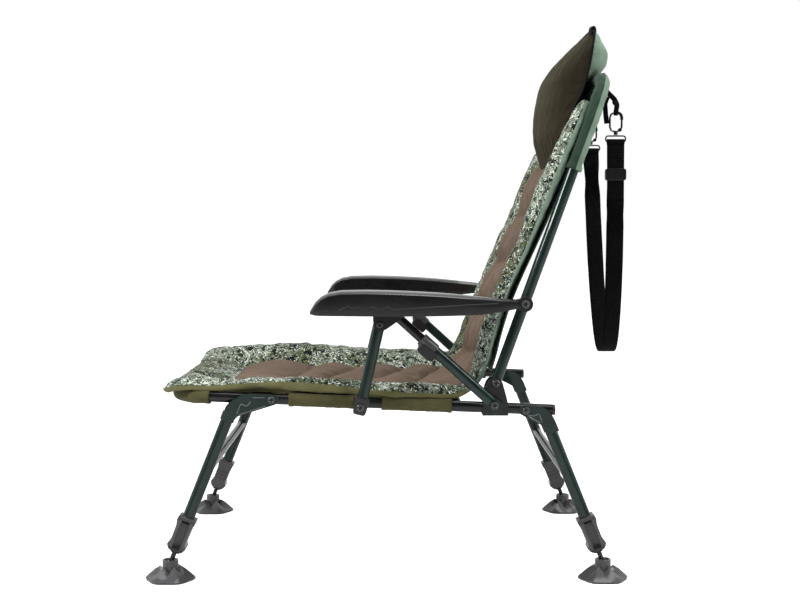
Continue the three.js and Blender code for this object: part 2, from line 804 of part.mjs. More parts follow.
// Recline strut: outer tube, clamp housing with its cam lever, and the rod that slides in the tube
function reclineStruts() {
  const length = Math.hypot(reclineHead.y - reclineFoot.y, reclineHead.z - reclineFoot.z);
  const along = yz((reclineHead.y - reclineFoot.y) / length, (reclineHead.z - reclineFoot.z) / length);
  // Places along the strut, and square to it towards its under side
  const place = (d, under = 0) =>
    yz(reclineFoot.y + along.y * d - along.z * under, reclineFoot.z + along.z * d + along.y * under);
  const onStrut = (d) => at(strutX, place(d));
  const corner = (d, under, r = 0) => {
    const p = place(d, under);
    return [p.y, p.z, r];
  };
  const slabOf = (outline, halfWidth) =>
    slab(outline.map((c) => corner(...c)), strutX - halfWidth, strutX + halfWidth);
  const rodR = 7.6;
  const boreR = 8.05;
  const rodFoot = 37;
  const tubeEnd = 150;
  const clampFrom = 129;
  const clampTo = 158;

  // The outer tube's foot is pressed flat for the pin.
  const flatOutline = [
    [-12.4, -10.6, 2],
    [-12.4, 10.6, 2],
    [2, 10.4, 3],
    [11, 8.6, 0],
    [11, -8.6, 0],
    [2, -10.4, 3],
  ];
  const outerTube = cut(
    join(rod(onStrut(8), onStrut(tubeEnd), tubeR), slabOf(flatOutline, 5)),
    rod(onStrut(11.5), onStrut(tubeEnd + 5), boreR),
    pin(reclineFoot, strutX - 15, strutX + 15, pinHoleR),
  );
  pair("recline_tube", outerTube, darkGreen);
  pair("recline_rod", rod(onStrut(rodFoot), onStrut(length - 12), rodR), blackMetal);

  // Sleeve round the tube's end, with an ear below it for the lever
  const pivotAt = { d: 148, under: 13.5 };
  const leverIn = 11.1;
  const leverOut = 12.7;
  const ear = [
    [143.5, 6],
    [144.2, 13.5],
    [146, 17, 1],
    [150.5, 17, 1],
    [153, 13.5],
    [157, 9],
    [157, 6],
  ];
  const pivot = place(pivotAt.d, pivotAt.under);
  const pivotPin = (radius) => pin(pivot, strutX - leverOut, strutX + leverOut, radius, 8);
  const housing = cut(
    join(rod(onStrut(clampFrom), onStrut(clampTo), tubeR + 1.9), slabOf(ear, leverIn - gap)),
    rod(onStrut(clampFrom - 5), onStrut(tubeEnd + gap), tubeR + gap),
    rod(onStrut(clampFrom - 5), onStrut(clampTo + 5), boreR + 0.1),
    pivotPin(2.4),
  );
  pair("recline_clamp", housing, greyPlastic);

  // Cam lever: a channel over the under side of the clamp
  const cheek = [
    [122.4, 0.6, 1],
    [149, 2.8, 1.5],
    [152.4, 17.6, 2],
    [145, 19.4, 1],
    [122.2, 17.4, 2],
  ];
  const channel = [
    [110, -5],
    [170, -5],
    [170, 25],
    [142.2, 25],
    [142.2, 16.4],
    [110, 14.6],
  ];
  const lever = join(cut(slabOf(cheek, leverOut), slabOf(channel, leverIn)), pivotPin(1.9));
  pair("recline_lever", lever, blackPlastic);
}

// One pair of legs. In a leg's own frame the tube runs down from the origin, and its front faces -Y.
function legPair({ name, facing, top, pivot, braceAt, sleeveEnd }) {
  const legFrame = (side) => {
    const frame = new THREE.Group();
    frame.position.set(railX, top.y, top.z);
    frame.rotation.x = facing * legTilt;
    frame.scale.y = facing < 0 ? 1 : -1;
    side.add(frame);
    return frame;
  };
  const frames = sides.map(([side, group]) => [side, legFrame(group)]);
  const along = yz(facing * Math.sin(legTilt), -Math.cos(legTilt));
  const down = (d) => yz(top.y + along.y * d, top.z + along.z * d);
  const ballAt = (top.z - ballHeight) / Math.cos(legTilt);
  const collarTop = ballAt - 82;
  const legTopAt = 13;
  const sleeveTop = 14;
  const legEnd = collarTop + 44;
  const place = (piece, shape, material) => {
    for (const [side, frame] of frames) frame.add(mesh(`${name}_${piece}_${side}`, shape, material));
  };

  // The two outer tubes and the cross tube between them are one weldment.
  const outer = rod(at(railX, down(legTopAt)), at(railX, down(legEnd)), legR, { bore: legBoreR });
  const brace = rod(at(-railX, down(braceAt)), at(railX, down(braceAt)), 7.5);
  const bores = both(rod(at(railX, down(0)), at(railX, down(legEnd + 5)), legR - 0.6));
  const weldment = join(cut(brace, bores), both(outer));
  chair.add(mesh(`${name}_leg_frame`, weldment, darkGreen));

  // Folded bracket: a cheek on each side of the rail, and a sleeve round the head of the leg
  const cheekIn = legR + 0.5;
  const cheekOut = cheekIn + 2.4;
  const cheek = facing < 0 ? frontCheek() : rearCheek();
  const cheeks = cut(
    slab(cheek, railX - cheekOut, railX + cheekOut),
    block(railX - cheekIn, railX + cheekIn, -420, 420, 200, 340),
  );
  const sleeveR = legR + gap + 1.5;
  const sleeveLine = [at(railX, down(sleeveTop)), at(railX, down(sleeveEnd))];
  const sleeve = rod(...sleeveLine, sleeveR, { bore: legR + gap, sides: 12 });
  const bracket = cut(join(cheeks, sleeve), pin(pivot, railX - 20, railX + 20, pinHoleR));
  pair(`${name}_leg_bracket`, bracket, darkGreen);

  place("lock_collar", lockCollar(collarTop, legEnd), greyPlastic);
  place("lock_lever", lockLever(collarTop), blackPlastic);
  place("inner_leg", innerLeg(collarTop, ballAt), blackMetal);

  const foot = mudFoot();
  for (const [side, group] of sides) {
    const made = mesh(`${name}_foot_${side}`, foot, greyPlastic);
    made.position.set(railX, down(ballAt).y, 0);
    group.add(made);
  }
}

const frontCheek = () => [
  [-276.5, 264, 2],
  [-266.8, 288.4, 6],
  [-239, 305.8, 9],
  [-197, 305, 8],
  [-184, 301, 6],
  [-181, 293.5, 5],
  [-187, 288, 5],
  [-249.4, 268.6, 3],
  [-258.4, 257.4, 2],
];
const rearCheek = () => [
  [204, 281.5, 6],
  [211, 286.8, 6],
  [228, 286.8, 10],
  [248, 282.6, 12],
  [260.6, 268, 9],
  [270.4, 245, 2],
  [251.5, 238.6, 2],
  [244, 252.6, 5],
  [213, 268.4, 8],
  [203.8, 274, 5],
];

// Moulded collar clamped on the end of the outer leg, waisted in both views, with a lever bay outside
function lockCollar(collarTop, legEnd) {
  const z = (d) => -(collarTop + d);
  const wide = [
    [-14.6, z(0), 2],
    [14.6, z(0), 2],
    [15, z(7), 0],
    [12.8, z(16), 0],
    [12.4, z(42), 0],
    [16, z(49), 1.5],
    [13, z(55), 0],
    [9.5, z(collarLength), 2],
    [-9.5, z(collarLength), 2],
    [-13, z(55), 0],
    [-16, z(49), 1.5],
    [-12.4, z(42), 0],
    [-12.8, z(16), 0],
    [-15, z(7), 0],
  ];
  const deep = [
    [-13.4, z(0), 2],
    [14, z(0), 2],
    [17, z(6), 2],
    [17, z(52), 3],
    [10, z(collarLength), 2],
    [-9.5, z(collarLength), 2],
    [-13.4, z(50), 2],
  ];
  const bay = block(12.6, 20, -6.6, 6.6, z(57), z(5.5));
  const grooves = [22, 29, 36].map((d) => block(-20, -12.2, -20, 20, z(d + 2.4), z(d)));
  return cut(
    slab(wide, -20, 20).intersect(frontSlab(deep, -20, 20)),
    bay,
    ...grooves,
    rod(v3(0, 0, 20), v3(0, 0, -legEnd - gap), legR + gap),
    rod(v3(0, 0, 20), v3(0, 0, z(collarLength + 5)), innerLegR + 0.7),
  );
}

// Cam lever in the collar's bay, hinged at its upper end, with a lip to lift it by
function lockLever(collarTop) {
  const z = (d) => -(collarTop + d);
  const side = [
    [13.2, z(6.7), 2.4],
    [18.2, z(6.7), 2.4],
    [18.6, z(20), 0],
    [17.6, z(42), 0],
    [20.4, z(53), 1],
    [18.2, z(55), 1],
    [13.3, z(46), 1],
  ];
  return frontSlab(side, -6.1, 6.1);
}

// Inner leg with the ball that the foot turns on
function innerLeg(collarTop, ballAt) {
  const ballR = 7.6;
  const neckR = 4;
  const shaft = rod(v3(0, 0, -(collarTop - 96)), v3(0, 0, -(collarTop + collarLength + 3)), innerLegR);
  const neck = rod(v3(0, 0, -(collarTop + collarLength)), v3(0, 0, -ballAt), neckR, { sides: 10 });
  const ball = solid(new THREE.SphereGeometry(ballR, 10, 6).rotateX(Math.PI / 2).translate(0, 0, -ballAt));
  return join(shaft, neck, ball);
}

// Mud foot: a domed disc with six ribs, scooped between them, and a cup for the ball
function mudFoot() {
  const ribs = 6;
  const around = 24;
  const rimHeight = 3.2;
  const crownHeight = 27;
  const ringsAt = [1, 0.86, 0.62, 0.4];
  const rings = [];
  const ringPoints = (share, height, lobe) =>
    Array.from({ length: around }, (_, i) => {
      const angle = (2 * Math.PI * i) / around;
      const rib = 0.5 - 0.5 * Math.cos(ribs * angle);
      const radius = footR * share * (1 - 0.09 * (1 - rib) * share);
      return v3(radius * Math.cos(angle), radius * Math.sin(angle), height(rib) + lobe * rib);
    });
  rings.push(ringPoints(0.97, () => 0, 0));
  for (const share of ringsAt) {
    const dome = (rib) => rimHeight + (crownHeight - rimHeight) * (1 - share ** 1.5) * (0.62 + 0.38 * rib);
    rings.push(ringPoints(share, dome, 2.2 * Math.sin(Math.PI * share)));
  }
  const body = loft(rings, fan(around));
  const cupR = 13;
  const cup = rod(v3(0, 0, 6), v3(0, 0, ballHeight + 5.5), cupR, { sides: 12 });
  const socket = solid(new THREE.SphereGeometry(8.6, 10, 6).rotateX(Math.PI / 2).translate(0, 0, ballHeight));
  const mouth = new THREE.LatheGeometry(
    [new THREE.Vector2(0, 0), new THREE.Vector2(7.3, 0), new THREE.Vector2(14.3, 7), new THREE.Vector2(0, 7)],
    12,
  ).rotateX(Math.PI / 2);
  return cut(join(body, cup), socket, solid(mouth.translate(0, 0, ballHeight + 2)));
}

// Carry strap: webbing hung as a catenary between two snap hooks on the back cloth
const strapX = 140;
const hookMiddle = yz(378.4, 750);
function carryStrap() {
  const webWidth = 29.6;
  const webThick = 2.2;
  const lowest = 348.5;
  const tension = 50.2; // the catenary's own length scale
  const halfLength = 411;
  const steps = 24;
  const rise = 366;
  const lean = 9.3; // the strap's middle hangs this far behind its hooks
  const sway = (z) => hookMiddle.y + lean * (1 - (z - lowest) / rise);
  const points = [];
  for (let i = 0; i <= steps; i++) {
    const s = halfLength * ((2 * i) / steps - 1);
    const z = lowest + Math.hypot(tension, s) - tension;
    points.push(v3(tension * Math.asinh(s / tension), sway(z), z));
  }
  const eyeBar = yz(hookMiddle.y, points[0].z + 4.4);
  const onBar = (side) => v3(strapX, eyeBar.y + (side * webWidth) / 2, eyeBar.z);
  const loopOver = rod(onBar(-1), onBar(1), 5, { bore: 3 });
  const webbing = join(band(points, () => v3(0, 1, 0), webWidth, webThick), both(loopOver));
  chair.add(mesh("strap_webbing", webbing, blackWebbing));

  // A wire frame in the side view, from a foot up to a top
  const frame = (middle, halfWide, foot, top, bend, wire) =>
    closedWire(
      [
        v3(strapX, middle - halfWide, foot),
        v3(strapX, middle + halfWide, foot),
        v3(strapX, middle + halfWide, top),
        v3(strapX, middle - halfWide, top),
      ],
      bend,
      wire,
    );
  const eyeWire = 1.5;
  const eyeHalf = 16.7;
  const eyeRise = 10;
  const eyeTop = eyeBar.z + eyeRise;
  pair("strap_eye", frame(eyeBar.y, eyeHalf, eyeBar.z, eyeTop, 3.5, eyeWire), blackPlastic);

  // Snap hook: an oval body with a heavier nose, and the stem that turns in the eye
  const hookWire = 1.8;
  const [halfWide, halfTall] = [10, 16];
  const top = hookMiddle.z + halfTall;
  const foot = hookMiddle.z - halfTall;
  const body = frame(hookMiddle.y, halfWide, foot, top, 8, hookWire);
  const nose = tube(
    new BentLine(
      [
        v3(strapX, hookMiddle.y + 1, top),
        v3(strapX, hookMiddle.y + halfWide, top),
        v3(strapX, hookMiddle.y + halfWide, top - 12),
      ],
      8,
      3,
    ),
    2.7,
    { sides: 8 },
  );
  const stemTop = v3(strapX, hookMiddle.y, foot + 1);
  const stem = rod(stemTop, v3(strapX, hookMiddle.y, eyeTop + eyeWire + gap), 3.4, { sides: 10 });
  const barrel = pin(yz(hookMiddle.y + halfWide - 3, foot + 3), strapX - 2.6, strapX + 2.6, 3.2, 8);
  pair("strap_hook", join(body, nose, stem, barrel), blackMetal);

  const sliderAt = 662;
  const reach = 17.8;
  const halfHeight = 10;
  const middleY = sway(sliderAt);
  const middleX = tension * Math.acosh((sliderAt - lowest) / tension + 1);
  const plate = [
    [middleY - reach, sliderAt - halfHeight, 4],
    [middleY + reach, sliderAt - halfHeight, 4],
    [middleY + reach, sliderAt + halfHeight, 4],
    [middleY - reach, sliderAt + halfHeight, 4],
  ];
  const slot = webWidth / 2 + 0.8;
  const opening = [middleY - slot, middleY + slot, sliderAt - 20, sliderAt + 20];
  const slider = cut(
    slab(plate, middleX - 5, middleX + 5),
    block(middleX - 3.2, middleX + 3.2, ...opening),
  );
  chair.add(mesh("strap_slider", slider, blackPlastic));

  // Loop of narrow tape from the back cloth round each hook's top bar
  const tapeHalf = 4.8;
  const tapeWidth = 7;
  const hangs = yz(hookMiddle.y, top);
  const run = [
    yz(backTop.y + 11.4, backTop.z - 7),
    yz(366, 797.5),
    yz(375.4, 789),
    yz(380.4, 779.4),
    yz(hangs.y, hangs.z + 1),
  ];
  const sideRun = (side) => run.map((p) => at(strapX + side * tapeHalf, p));
  const turn = Array.from({ length: 5 }, (_, i) => {
    const angle = (Math.PI * (i + 1)) / 6;
    return v3(strapX - tapeHalf * Math.cos(angle), hangs.y, hangs.z - tapeHalf * Math.sin(angle));
  });
  const tape = [...sideRun(-1), ...turn, ...sideRun(1).reverse()];
  const flat = (t) => (t < 0.18 || t > 0.82 ? v3(0, 0.55, 0.83) : v3(0, 1, 0));
  pair("strap_tab", band(tape, flat, tapeWidth, 1.8), blackWebbing);
}

// A closed loop of wire through rounded corners, made as two halves that meet
function closedWire(corners, bendRadius, radius) {
  const [a, b, c, d] = corners;
  const near = a.clone().lerp(d, 0.5);
  const far = b.clone().lerp(c, 0.5);
  const overlap = 0.5;
  const nudge = a.clone().sub(d).normalize().multiplyScalar(overlap);
  const farNudge = b.clone().sub(c).normalize().multiplyScalar(overlap);
  const lower = [near.clone().sub(nudge), a, b, far.clone().sub(farNudge)];
  const upper = [near.clone().add(nudge), d, c, far.clone().add(farNudge)];
  const half = (line) => tube(new BentLine(line, bendRadius, 2), radius, { sides: 6 });
  return join(half(lower), half(upper));
}

seatFrame();
hingePlates();
seatSling();
seatMattress();
backFrame();
backSling();
backMattress();
pillow();
armrests();
frontStruts();
reclineStruts();
legPair(frontLeg);
legPair(rearLeg);
carryStrap();

export default chair;
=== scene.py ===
# A folding high-back fishing chair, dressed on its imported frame.
# Shapes are written in millimetres and made in metres. A yz pair is a place in the side view.
import json
import math

import bmesh
import bpy
import numpy as np
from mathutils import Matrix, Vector, noise

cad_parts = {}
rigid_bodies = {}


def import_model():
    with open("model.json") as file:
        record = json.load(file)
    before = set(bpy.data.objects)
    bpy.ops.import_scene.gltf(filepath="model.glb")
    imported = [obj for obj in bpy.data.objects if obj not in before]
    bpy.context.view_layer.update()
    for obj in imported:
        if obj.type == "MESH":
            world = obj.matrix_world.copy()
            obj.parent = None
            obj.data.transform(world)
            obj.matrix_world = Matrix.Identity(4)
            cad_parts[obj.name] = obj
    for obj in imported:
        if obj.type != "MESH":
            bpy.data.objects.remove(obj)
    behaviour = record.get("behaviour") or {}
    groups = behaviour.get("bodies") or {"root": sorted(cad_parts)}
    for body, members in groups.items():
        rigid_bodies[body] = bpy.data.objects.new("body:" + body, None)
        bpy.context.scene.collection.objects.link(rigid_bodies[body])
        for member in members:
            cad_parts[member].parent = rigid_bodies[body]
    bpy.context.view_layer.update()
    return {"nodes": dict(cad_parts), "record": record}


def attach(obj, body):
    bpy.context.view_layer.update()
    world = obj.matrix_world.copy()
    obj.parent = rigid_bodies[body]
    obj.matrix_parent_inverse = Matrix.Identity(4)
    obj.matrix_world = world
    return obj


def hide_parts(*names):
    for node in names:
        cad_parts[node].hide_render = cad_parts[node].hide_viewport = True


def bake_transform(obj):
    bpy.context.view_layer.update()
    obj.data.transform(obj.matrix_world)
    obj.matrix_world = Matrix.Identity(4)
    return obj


for leftover in list(bpy.data.objects):
    bpy.data.objects.remove(leftover)
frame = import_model()
nodes = frame["nodes"]

MM = 0.001
RAIL_X = 258
TUBE_R = 9
RAIL_FRONT = (-352, 302.3)
RAIL_REAR = (264.5, 277.2)
FRAME_BEND = 58
BACK_PIVOT = (167.5, 322)
BACK_TOP = (345.2, 816)
BACK_BEND = 72
STRAP_X = 140


def rail_height(y):
    share = (y - RAIL_FRONT[0]) / (RAIL_REAR[0] - RAIL_FRONT[0])
    return RAIL_FRONT[1] + share * (RAIL_REAR[1] - RAIL_FRONT[1])


def on_back(distance):
    """The place at a distance up the back tube from its pivot."""
    length = math.dist(BACK_PIVOT, BACK_TOP)
    return tuple(a + (b - a) * distance / length for a, b in zip(BACK_PIVOT, BACK_TOP))


# Camera, floor and light

CAMERA_PLACE = (2.4, 0, 0.5815)
CAMERA_PITCH = math.radians(3.356)
CAMERA_YAW = math.radians(0.345)
FOCAL_PX = 1330
PICTURE_PX = 800
SENSOR_MM = 36
# A name, place, target, size and power for each lamp
LAMPS = [
    ("key", (1.2, -2.3, 1.9), (0, 0, 0.42), (0.8, 0.8), 62),
    ("top", (0.2, 0.3, 2.6), (0, 0, 0.4), (1.6, 1.4), 30),
    ("rear strip", (1.2, 2.2, 1.7), (0.2, 0.1, 0.5), (0.25, 2.0), 36),
]


def add_node(tree, kind, place=(0, 0), sockets=None, **values):
    """A shader node at a place in the editor, with its attributes and its sockets' values."""
    node = tree.nodes.new(kind)
    node.location = place
    for key, value in values.items():
        setattr(node, key, value)
    for key, value in (sockets or {}).items():
        node.inputs[key].default_value = value
    return node


def look_from(place, pitch, yaw, focal_px):
    data = bpy.data.cameras.new("camera")
    data.sensor_width = SENSOR_MM
    data.lens = focal_px / PICTURE_PX * SENSOR_MM
    camera = bpy.data.objects.new("camera", data)
    bpy.context.scene.collection.objects.link(camera)
    forward = Vector((
        -math.cos(pitch) * math.cos(yaw), math.cos(pitch) * math.sin(yaw), -math.sin(pitch),
    ))
    camera.location = place
    camera.rotation_euler = forward.to_track_quat("-Z", "Y").to_euler()
    bpy.context.scene.camera = camera


def area_light(name, place, target, size, power):
    data = bpy.data.lights.new(name, "AREA")
    data.shape = "RECTANGLE"
    data.size, data.size_y = size
    data.energy = power
    lamp = bpy.data.objects.new(name, data)
    bpy.context.scene.collection.objects.link(lamp)
    lamp.location = place
    lamp.rotation_euler = (Vector(target) - Vector(place)).to_track_quat("-Z", "Y").to_euler()


def studio():
    look_from(CAMERA_PLACE, CAMERA_PITCH, CAMERA_YAW, FOCAL_PX)
    world = bpy.data.worlds.new("studio")
    bpy.context.scene.world = world
    world.use_nodes = True
    tree = world.node_tree
    background = tree.nodes["Background"]
    background.inputs["Color"].default_value = (1, 1, 1, 1)
    # The backdrop itself is white. What it throws on the object is softer, and darkest from +X.
    path = add_node(tree, "ShaderNodeLightPath", (-800, 300))
    direction = add_node(tree, "ShaderNodeTexCoord", (-1000, 0)).outputs["Generated"]
    split = add_node(tree, "ShaderNodeSeparateXYZ", (-800, 0))
    tree.links.new(direction, split.inputs["Vector"])
    across = add_node(tree, "ShaderNodeMapRange", (-600, 0), {
        "From Min": 0.75, "From Max": -0.35, "To Min": 0.03, "To Max": 0.8,
    })
    tree.links.new(split.outputs["X"], across.inputs["Value"])
    choice = add_node(tree, "ShaderNodeMix", (-300, 100), data_type="FLOAT")
    tree.links.new(path.outputs["Is Camera Ray"], choice.inputs[0])
    tree.links.new(across.outputs["Result"], choice.inputs[2])
    choice.inputs[3].default_value = 1.0
    tree.links.new(choice.outputs[0], background.inputs["Strength"])
    bpy.context.scene.view_settings.view_transform = "Standard"
    bpy.context.scene.view_settings.look = "None"

    bpy.ops.mesh.primitive_plane_add(size=30, location=(0, 0, 0))
    floor = bpy.context.object
    floor.name = "floor"
    paint = bpy.data.materials.new("floor")
    paint.use_nodes = True
    shader = paint.node_tree.nodes["Principled BSDF"]
    for socket, value in (
        ("Base Color", (0.8, 0.8, 0.8, 1)), ("Roughness", 0.9), ("Specular IOR Level", 0.0),
        ("Emission Color", (1, 1, 1, 1)),
    ):
        shader.inputs[socket].default_value = value
    seen = add_node(paint.node_tree, "ShaderNodeLightPath", (-600, 0)).outputs["Is Camera Ray"]
    glow = add_node(paint.node_tree, "ShaderNodeMath", (-300, 0), operation="MULTIPLY")
    paint.node_tree.links.new(seen, glow.inputs[0])
    glow.inputs[1].default_value = 0.80
    paint.node_tree.links.new(glow.outputs[0], shader.inputs["Emission Strength"])
    floor.data.materials.append(paint)

    for lamp in LAMPS:
        area_light(*lamp)


# Materials

WAVE_TURN = 6.283


class Finish:
    """A procedural material: a shader with nodes for colour, roughness and bump in object space."""

    def __init__(self, name, colour, roughness, **sockets):
        self.material = bpy.data.materials.new(name)
        self.material.use_nodes = True
        self.tree = self.material.node_tree
        self.shader = self.tree.nodes["Principled BSDF"]
        self.shader.inputs["Base Color"].default_value = (*colour, 1)
        self.shader.inputs["Roughness"].default_value = roughness
        for socket, value in sockets.items():
            self.shader.inputs[socket.replace("_", " ")].default_value = value
        self.colour = colour
        self.roughness = roughness
        self.place = add_node(self.tree, "ShaderNodeTexCoord", (-1600, 0)).outputs["Object"]
        self.height = None

    def noise(self, scale, detail=3.0, roughness=0.5, distortion=0.0):
        texture = add_node(self.tree, "ShaderNodeTexNoise", (-1200, 0), {
            "Scale": scale, "Detail": detail, "Roughness": roughness, "Distortion": distortion,
        })
        self.tree.links.new(self.place, texture.inputs["Vector"])
        return texture.outputs["Fac"]

    def wave(self, scale, direction, distortion):
        texture = add_node(self.tree, "ShaderNodeTexWave", (-1200, -300), {
            "Scale": scale / WAVE_TURN, "Distortion": distortion, "Detail": 1.0, "Detail Scale": 2.0,
        }, bands_direction=direction)
        self.tree.links.new(self.place, texture.inputs["Vector"])
        return texture.outputs["Fac"]

    def math(self, operation, a, b):
        node = add_node(self.tree, "ShaderNodeMath", (-900, -300), operation=operation)
        for socket, value in zip(node.inputs, (a, b)):
            if isinstance(value, (int, float)):
                socket.default_value = value
            else:
                self.tree.links.new(value, socket)
        return node.outputs[0]

    def ramp(self, factor, stops, constant=False):
        node = add_node(self.tree, "ShaderNodeValToRGB", (-700, 200))
        node.color_ramp.interpolation = "CONSTANT" if constant else "LINEAR"
        elements = node.color_ramp.elements
        while len(elements) < len(stops):
            elements.new(0.5)
        for element, (position, colour) in zip(elements, stops):
            element.position = position
            element.color = (*colour, 1)
        self.tree.links.new(factor, node.inputs["Fac"])
        return node.outputs["Color"]

    def mix(self, factor, a, b, blend="MIX"):
        node = add_node(self.tree, "ShaderNodeMix", (-450, 200), data_type="RGBA", blend_type=blend)
        for socket, value in zip((node.inputs[0], node.inputs[6], node.inputs[7]), (factor, a, b)):
            if isinstance(value, (int, float)):
                socket.default_value = value
            elif isinstance(value, tuple):
                socket.default_value = (*value, 1)
            else:
                self.tree.links.new(value, socket)
        return node.outputs[2]

    def paint(self, colour):
        self.tree.links.new(colour, self.shader.inputs["Base Color"])
        return self

    def mottle(self, scale, low, high, detail=4.0):
        """Colour that drifts between two shades of the base."""
        dark = tuple(c * low for c in self.colour)
        light = tuple(c * high for c in self.colour)
        return self.paint(self.ramp(self.noise(scale, detail), [(0.3, dark), (0.7, light)]))

    def worn(self, scale, spread):
        """Roughness that drifts by spread each way."""
        node = add_node(self.tree, "ShaderNodeMapRange", (-500, -100), {
            "From Min": 0.3, "From Max": 0.7,
            "To Min": self.roughness - spread, "To Max": self.roughness + spread,
        })
        self.tree.links.new(self.noise(scale), node.inputs["Value"])
        self.tree.links.new(node.outputs["Result"], self.shader.inputs["Roughness"])
        return self

    def bump(self, height, depth):
        """Adds relief of a depth in millimetres over what is there."""
        node = add_node(self.tree, "ShaderNodeBump", (-300, -300), {
            "Distance": depth * MM, "Strength": 1.0,
        })
        self.tree.links.new(height, node.inputs["Height"])
        if self.height:
            self.tree.links.new(self.height, node.inputs["Normal"])
        self.height = node.outputs["Normal"]
        self.tree.links.new(self.height, self.shader.inputs["Normal"])
        return self

    def weave(self, threads, depth):
        """Plain weave: threads per metre along X and along the other two directions."""
        across = self.wave(threads, "X", 0.3)
        along = self.wave(threads, "DIAGONAL", 0.3)
        return self.bump(self.math("MULTIPLY", across, along), depth)


def painted_steel(name, colour):
    made = Finish(
        name, colour, 0.42, Specular_IOR_Level=0.12, Coat_Weight=0.6, Coat_Roughness=0.06,
    )
    made.mottle(38, 0.75, 1.3)
    made.worn(60, 0.07)
    return made.bump(made.noise(420, 2), 0.04).bump(made.noise(45, 2), 0.1)


def moulded(name, colour, roughness, grain=900):
    made = Finish(name, colour, roughness, Specular_IOR_Level=0.35, Coat_Weight=0.7, Coat_Roughness=0.2)
    made.mottle(30, 0.85, 1.2)
    made.worn(25, 0.06)
    return made.bump(made.noise(grain, 3), 0.07)


def cloth(name, colour, sheen=0.08):
    made = Finish(
        name, colour, 0.85, Sheen_Weight=sheen, Sheen_Roughness=0.5, Specular_IOR_Level=0.15,
    )
    made.mottle(28, 0.82, 1.16)
    made.weave(1100, 0.18)
    return made.bump(made.noise(90, 4), 0.6)


def camouflage(name):
    """Small broken blotches with pale curled lines, over patches of a cool and a warm scheme."""
    made = Finish(
        name, (0.13, 0.17, 0.13), 0.85, Sheen_Weight=0.05, Sheen_Roughness=0.5, Specular_IOR_Level=0.12,
    )
    blotch = made.noise(64, 2.5, distortion=0.9, roughness=0.6)
    curl = made.noise(78, 1.5, distortion=1.6, roughness=0.5)
    fleck = made.noise(105, 2.0, distortion=0.8)
    patch = made.noise(11, 2.0)
    pale = (0.82, 0.87, 0.76)
    mist = (0.33, 0.385, 0.31)
    grey = (0.125, 0.155, 0.115)
    slate = (0.026, 0.038, 0.027)
    ink = (0.007, 0.011, 0.008)
    moss = (0.085, 0.098, 0.036)
    cool = made.ramp(
        blotch, [(0.0, ink), (0.40, slate), (0.455, grey), (0.53, mist), (0.56, grey), (0.61, slate)],
        constant=True,
    )
    warm = made.ramp(
        blotch, [(0.0, ink), (0.42, slate), (0.47, moss), (0.545, grey), (0.60, ink)], constant=True,
    )
    zone = made.ramp(patch, [(0.49, (0, 0, 0)), (0.55, (1, 1, 1))])
    ground = made.mix(zone, cool, warm)
    on, off = (1, 1, 1), (0, 0, 0)
    lines = made.ramp(curl, [(0.0, off), (0.465, on), (0.527, off)], constant=True)
    broken = made.ramp(fleck, [(0.0, off), (0.43, on)], constant=True)
    lighter = made.mix(1.0, lines, broken, "MULTIPLY")
    fewer = made.ramp(made.math("ADD", made.math("MULTIPLY", patch, 0.5), fleck), [
        (0.0, on), (0.80, off)], constant=True)
    made.paint(made.mix(made.mix(1.0, lighter, fewer, "MULTIPLY"), ground, pale))
    made.weave(1300, 0.12)
    return made.bump(made.noise(70, 4), 0.7)


def fleece(name, colour, sheen, tint, pile=520):
    made = Finish(
        name, colour, 0.95, Sheen_Weight=sheen, Sheen_Roughness=0.35, Sheen_Tint=(*tint, 1),
        Specular_IOR_Level=0.1,
    )
    made.mottle(9, 0.85, 1.16, 5.0)
    return made.bump(made.noise(pile, 4), 0.35).bump(made.noise(70, 3), 0.6)


def webbing(name, colour):
    made = Finish(name, colour, 0.7, Sheen_Weight=0.01, Sheen_Roughness=0.4, Specular_IOR_Level=0.06)
    made.mottle(40, 0.7, 1.4)
    made.bump(made.wave(800, "Z", 0.4), 0.35)
    return made.bump(made.wave(1040, "Y", 0.2), 0.2)


GREEN_PAINT = painted_steel("green paint", (0.006, 0.019, 0.0155))
BLACK_METAL = painted_steel("black metal", (0.008, 0.008, 0.009))
RIVET_METAL = Finish("rivet metal", (0.10, 0.10, 0.105), 0.34, Metallic=0.95)
RIVET_METAL.mottle(90, 0.8, 1.1).worn(70, 0.08)
BLACK_PLASTIC = moulded("black plastic", (0.007, 0.006, 0.007), 0.30)
GREY_PLASTIC = moulded("grey plastic", (0.05, 0.048, 0.052), 0.5, 700)
OLIVE_CLOTH = cloth("olive cloth", (0.150, 0.145, 0.062))
SLEEVE_CLOTH = cloth("sleeve cloth", (0.085, 0.078, 0.032))
SAGE_CLOTH = cloth("sage cloth", (0.19, 0.27, 0.205))
MINT_CLOTH = cloth("mint cloth", (0.20, 0.29, 0.215))
# Dark green for the back sleeve's front half: partly the cloth's colour, partly painted shade cast by the
# pad.
DEEP_CLOTH_AND_SHADE = cloth("deep green cloth and painted shade", (0.025, 0.050, 0.032))
CAMO_CLOTH = camouflage("camouflage cloth")
PANEL_CLOTH = fleece("brown microfibre", (0.135, 0.096, 0.070), 0.12, (0.8, 0.65, 0.55), 800)
PILLOW_CLOTH = fleece("dark fleece", (0.026, 0.021, 0.0125), 0.14, (0.55, 0.52, 0.30))
PIPING = cloth("black binding", (0.008, 0.007, 0.008), 0.03)
FRAME_PAINT = painted_steel("dark frame paint", (0.005, 0.006, 0.006))
# Pale green paint for the pressed lines on the brackets: a painted highlight along their ridges.
HIGHLIGHT_PAINT = painted_steel("pale green paint for painted highlight", (0.10, 0.125, 0.12))
BLACK_WEBBING = webbing("black webbing", (0.0025, 0.0025, 0.003))


# Curves and meshes

def smoothstep(t):
    t = min(1.0, max(0.0, t))
    return t * t * (3 - 2 * t)


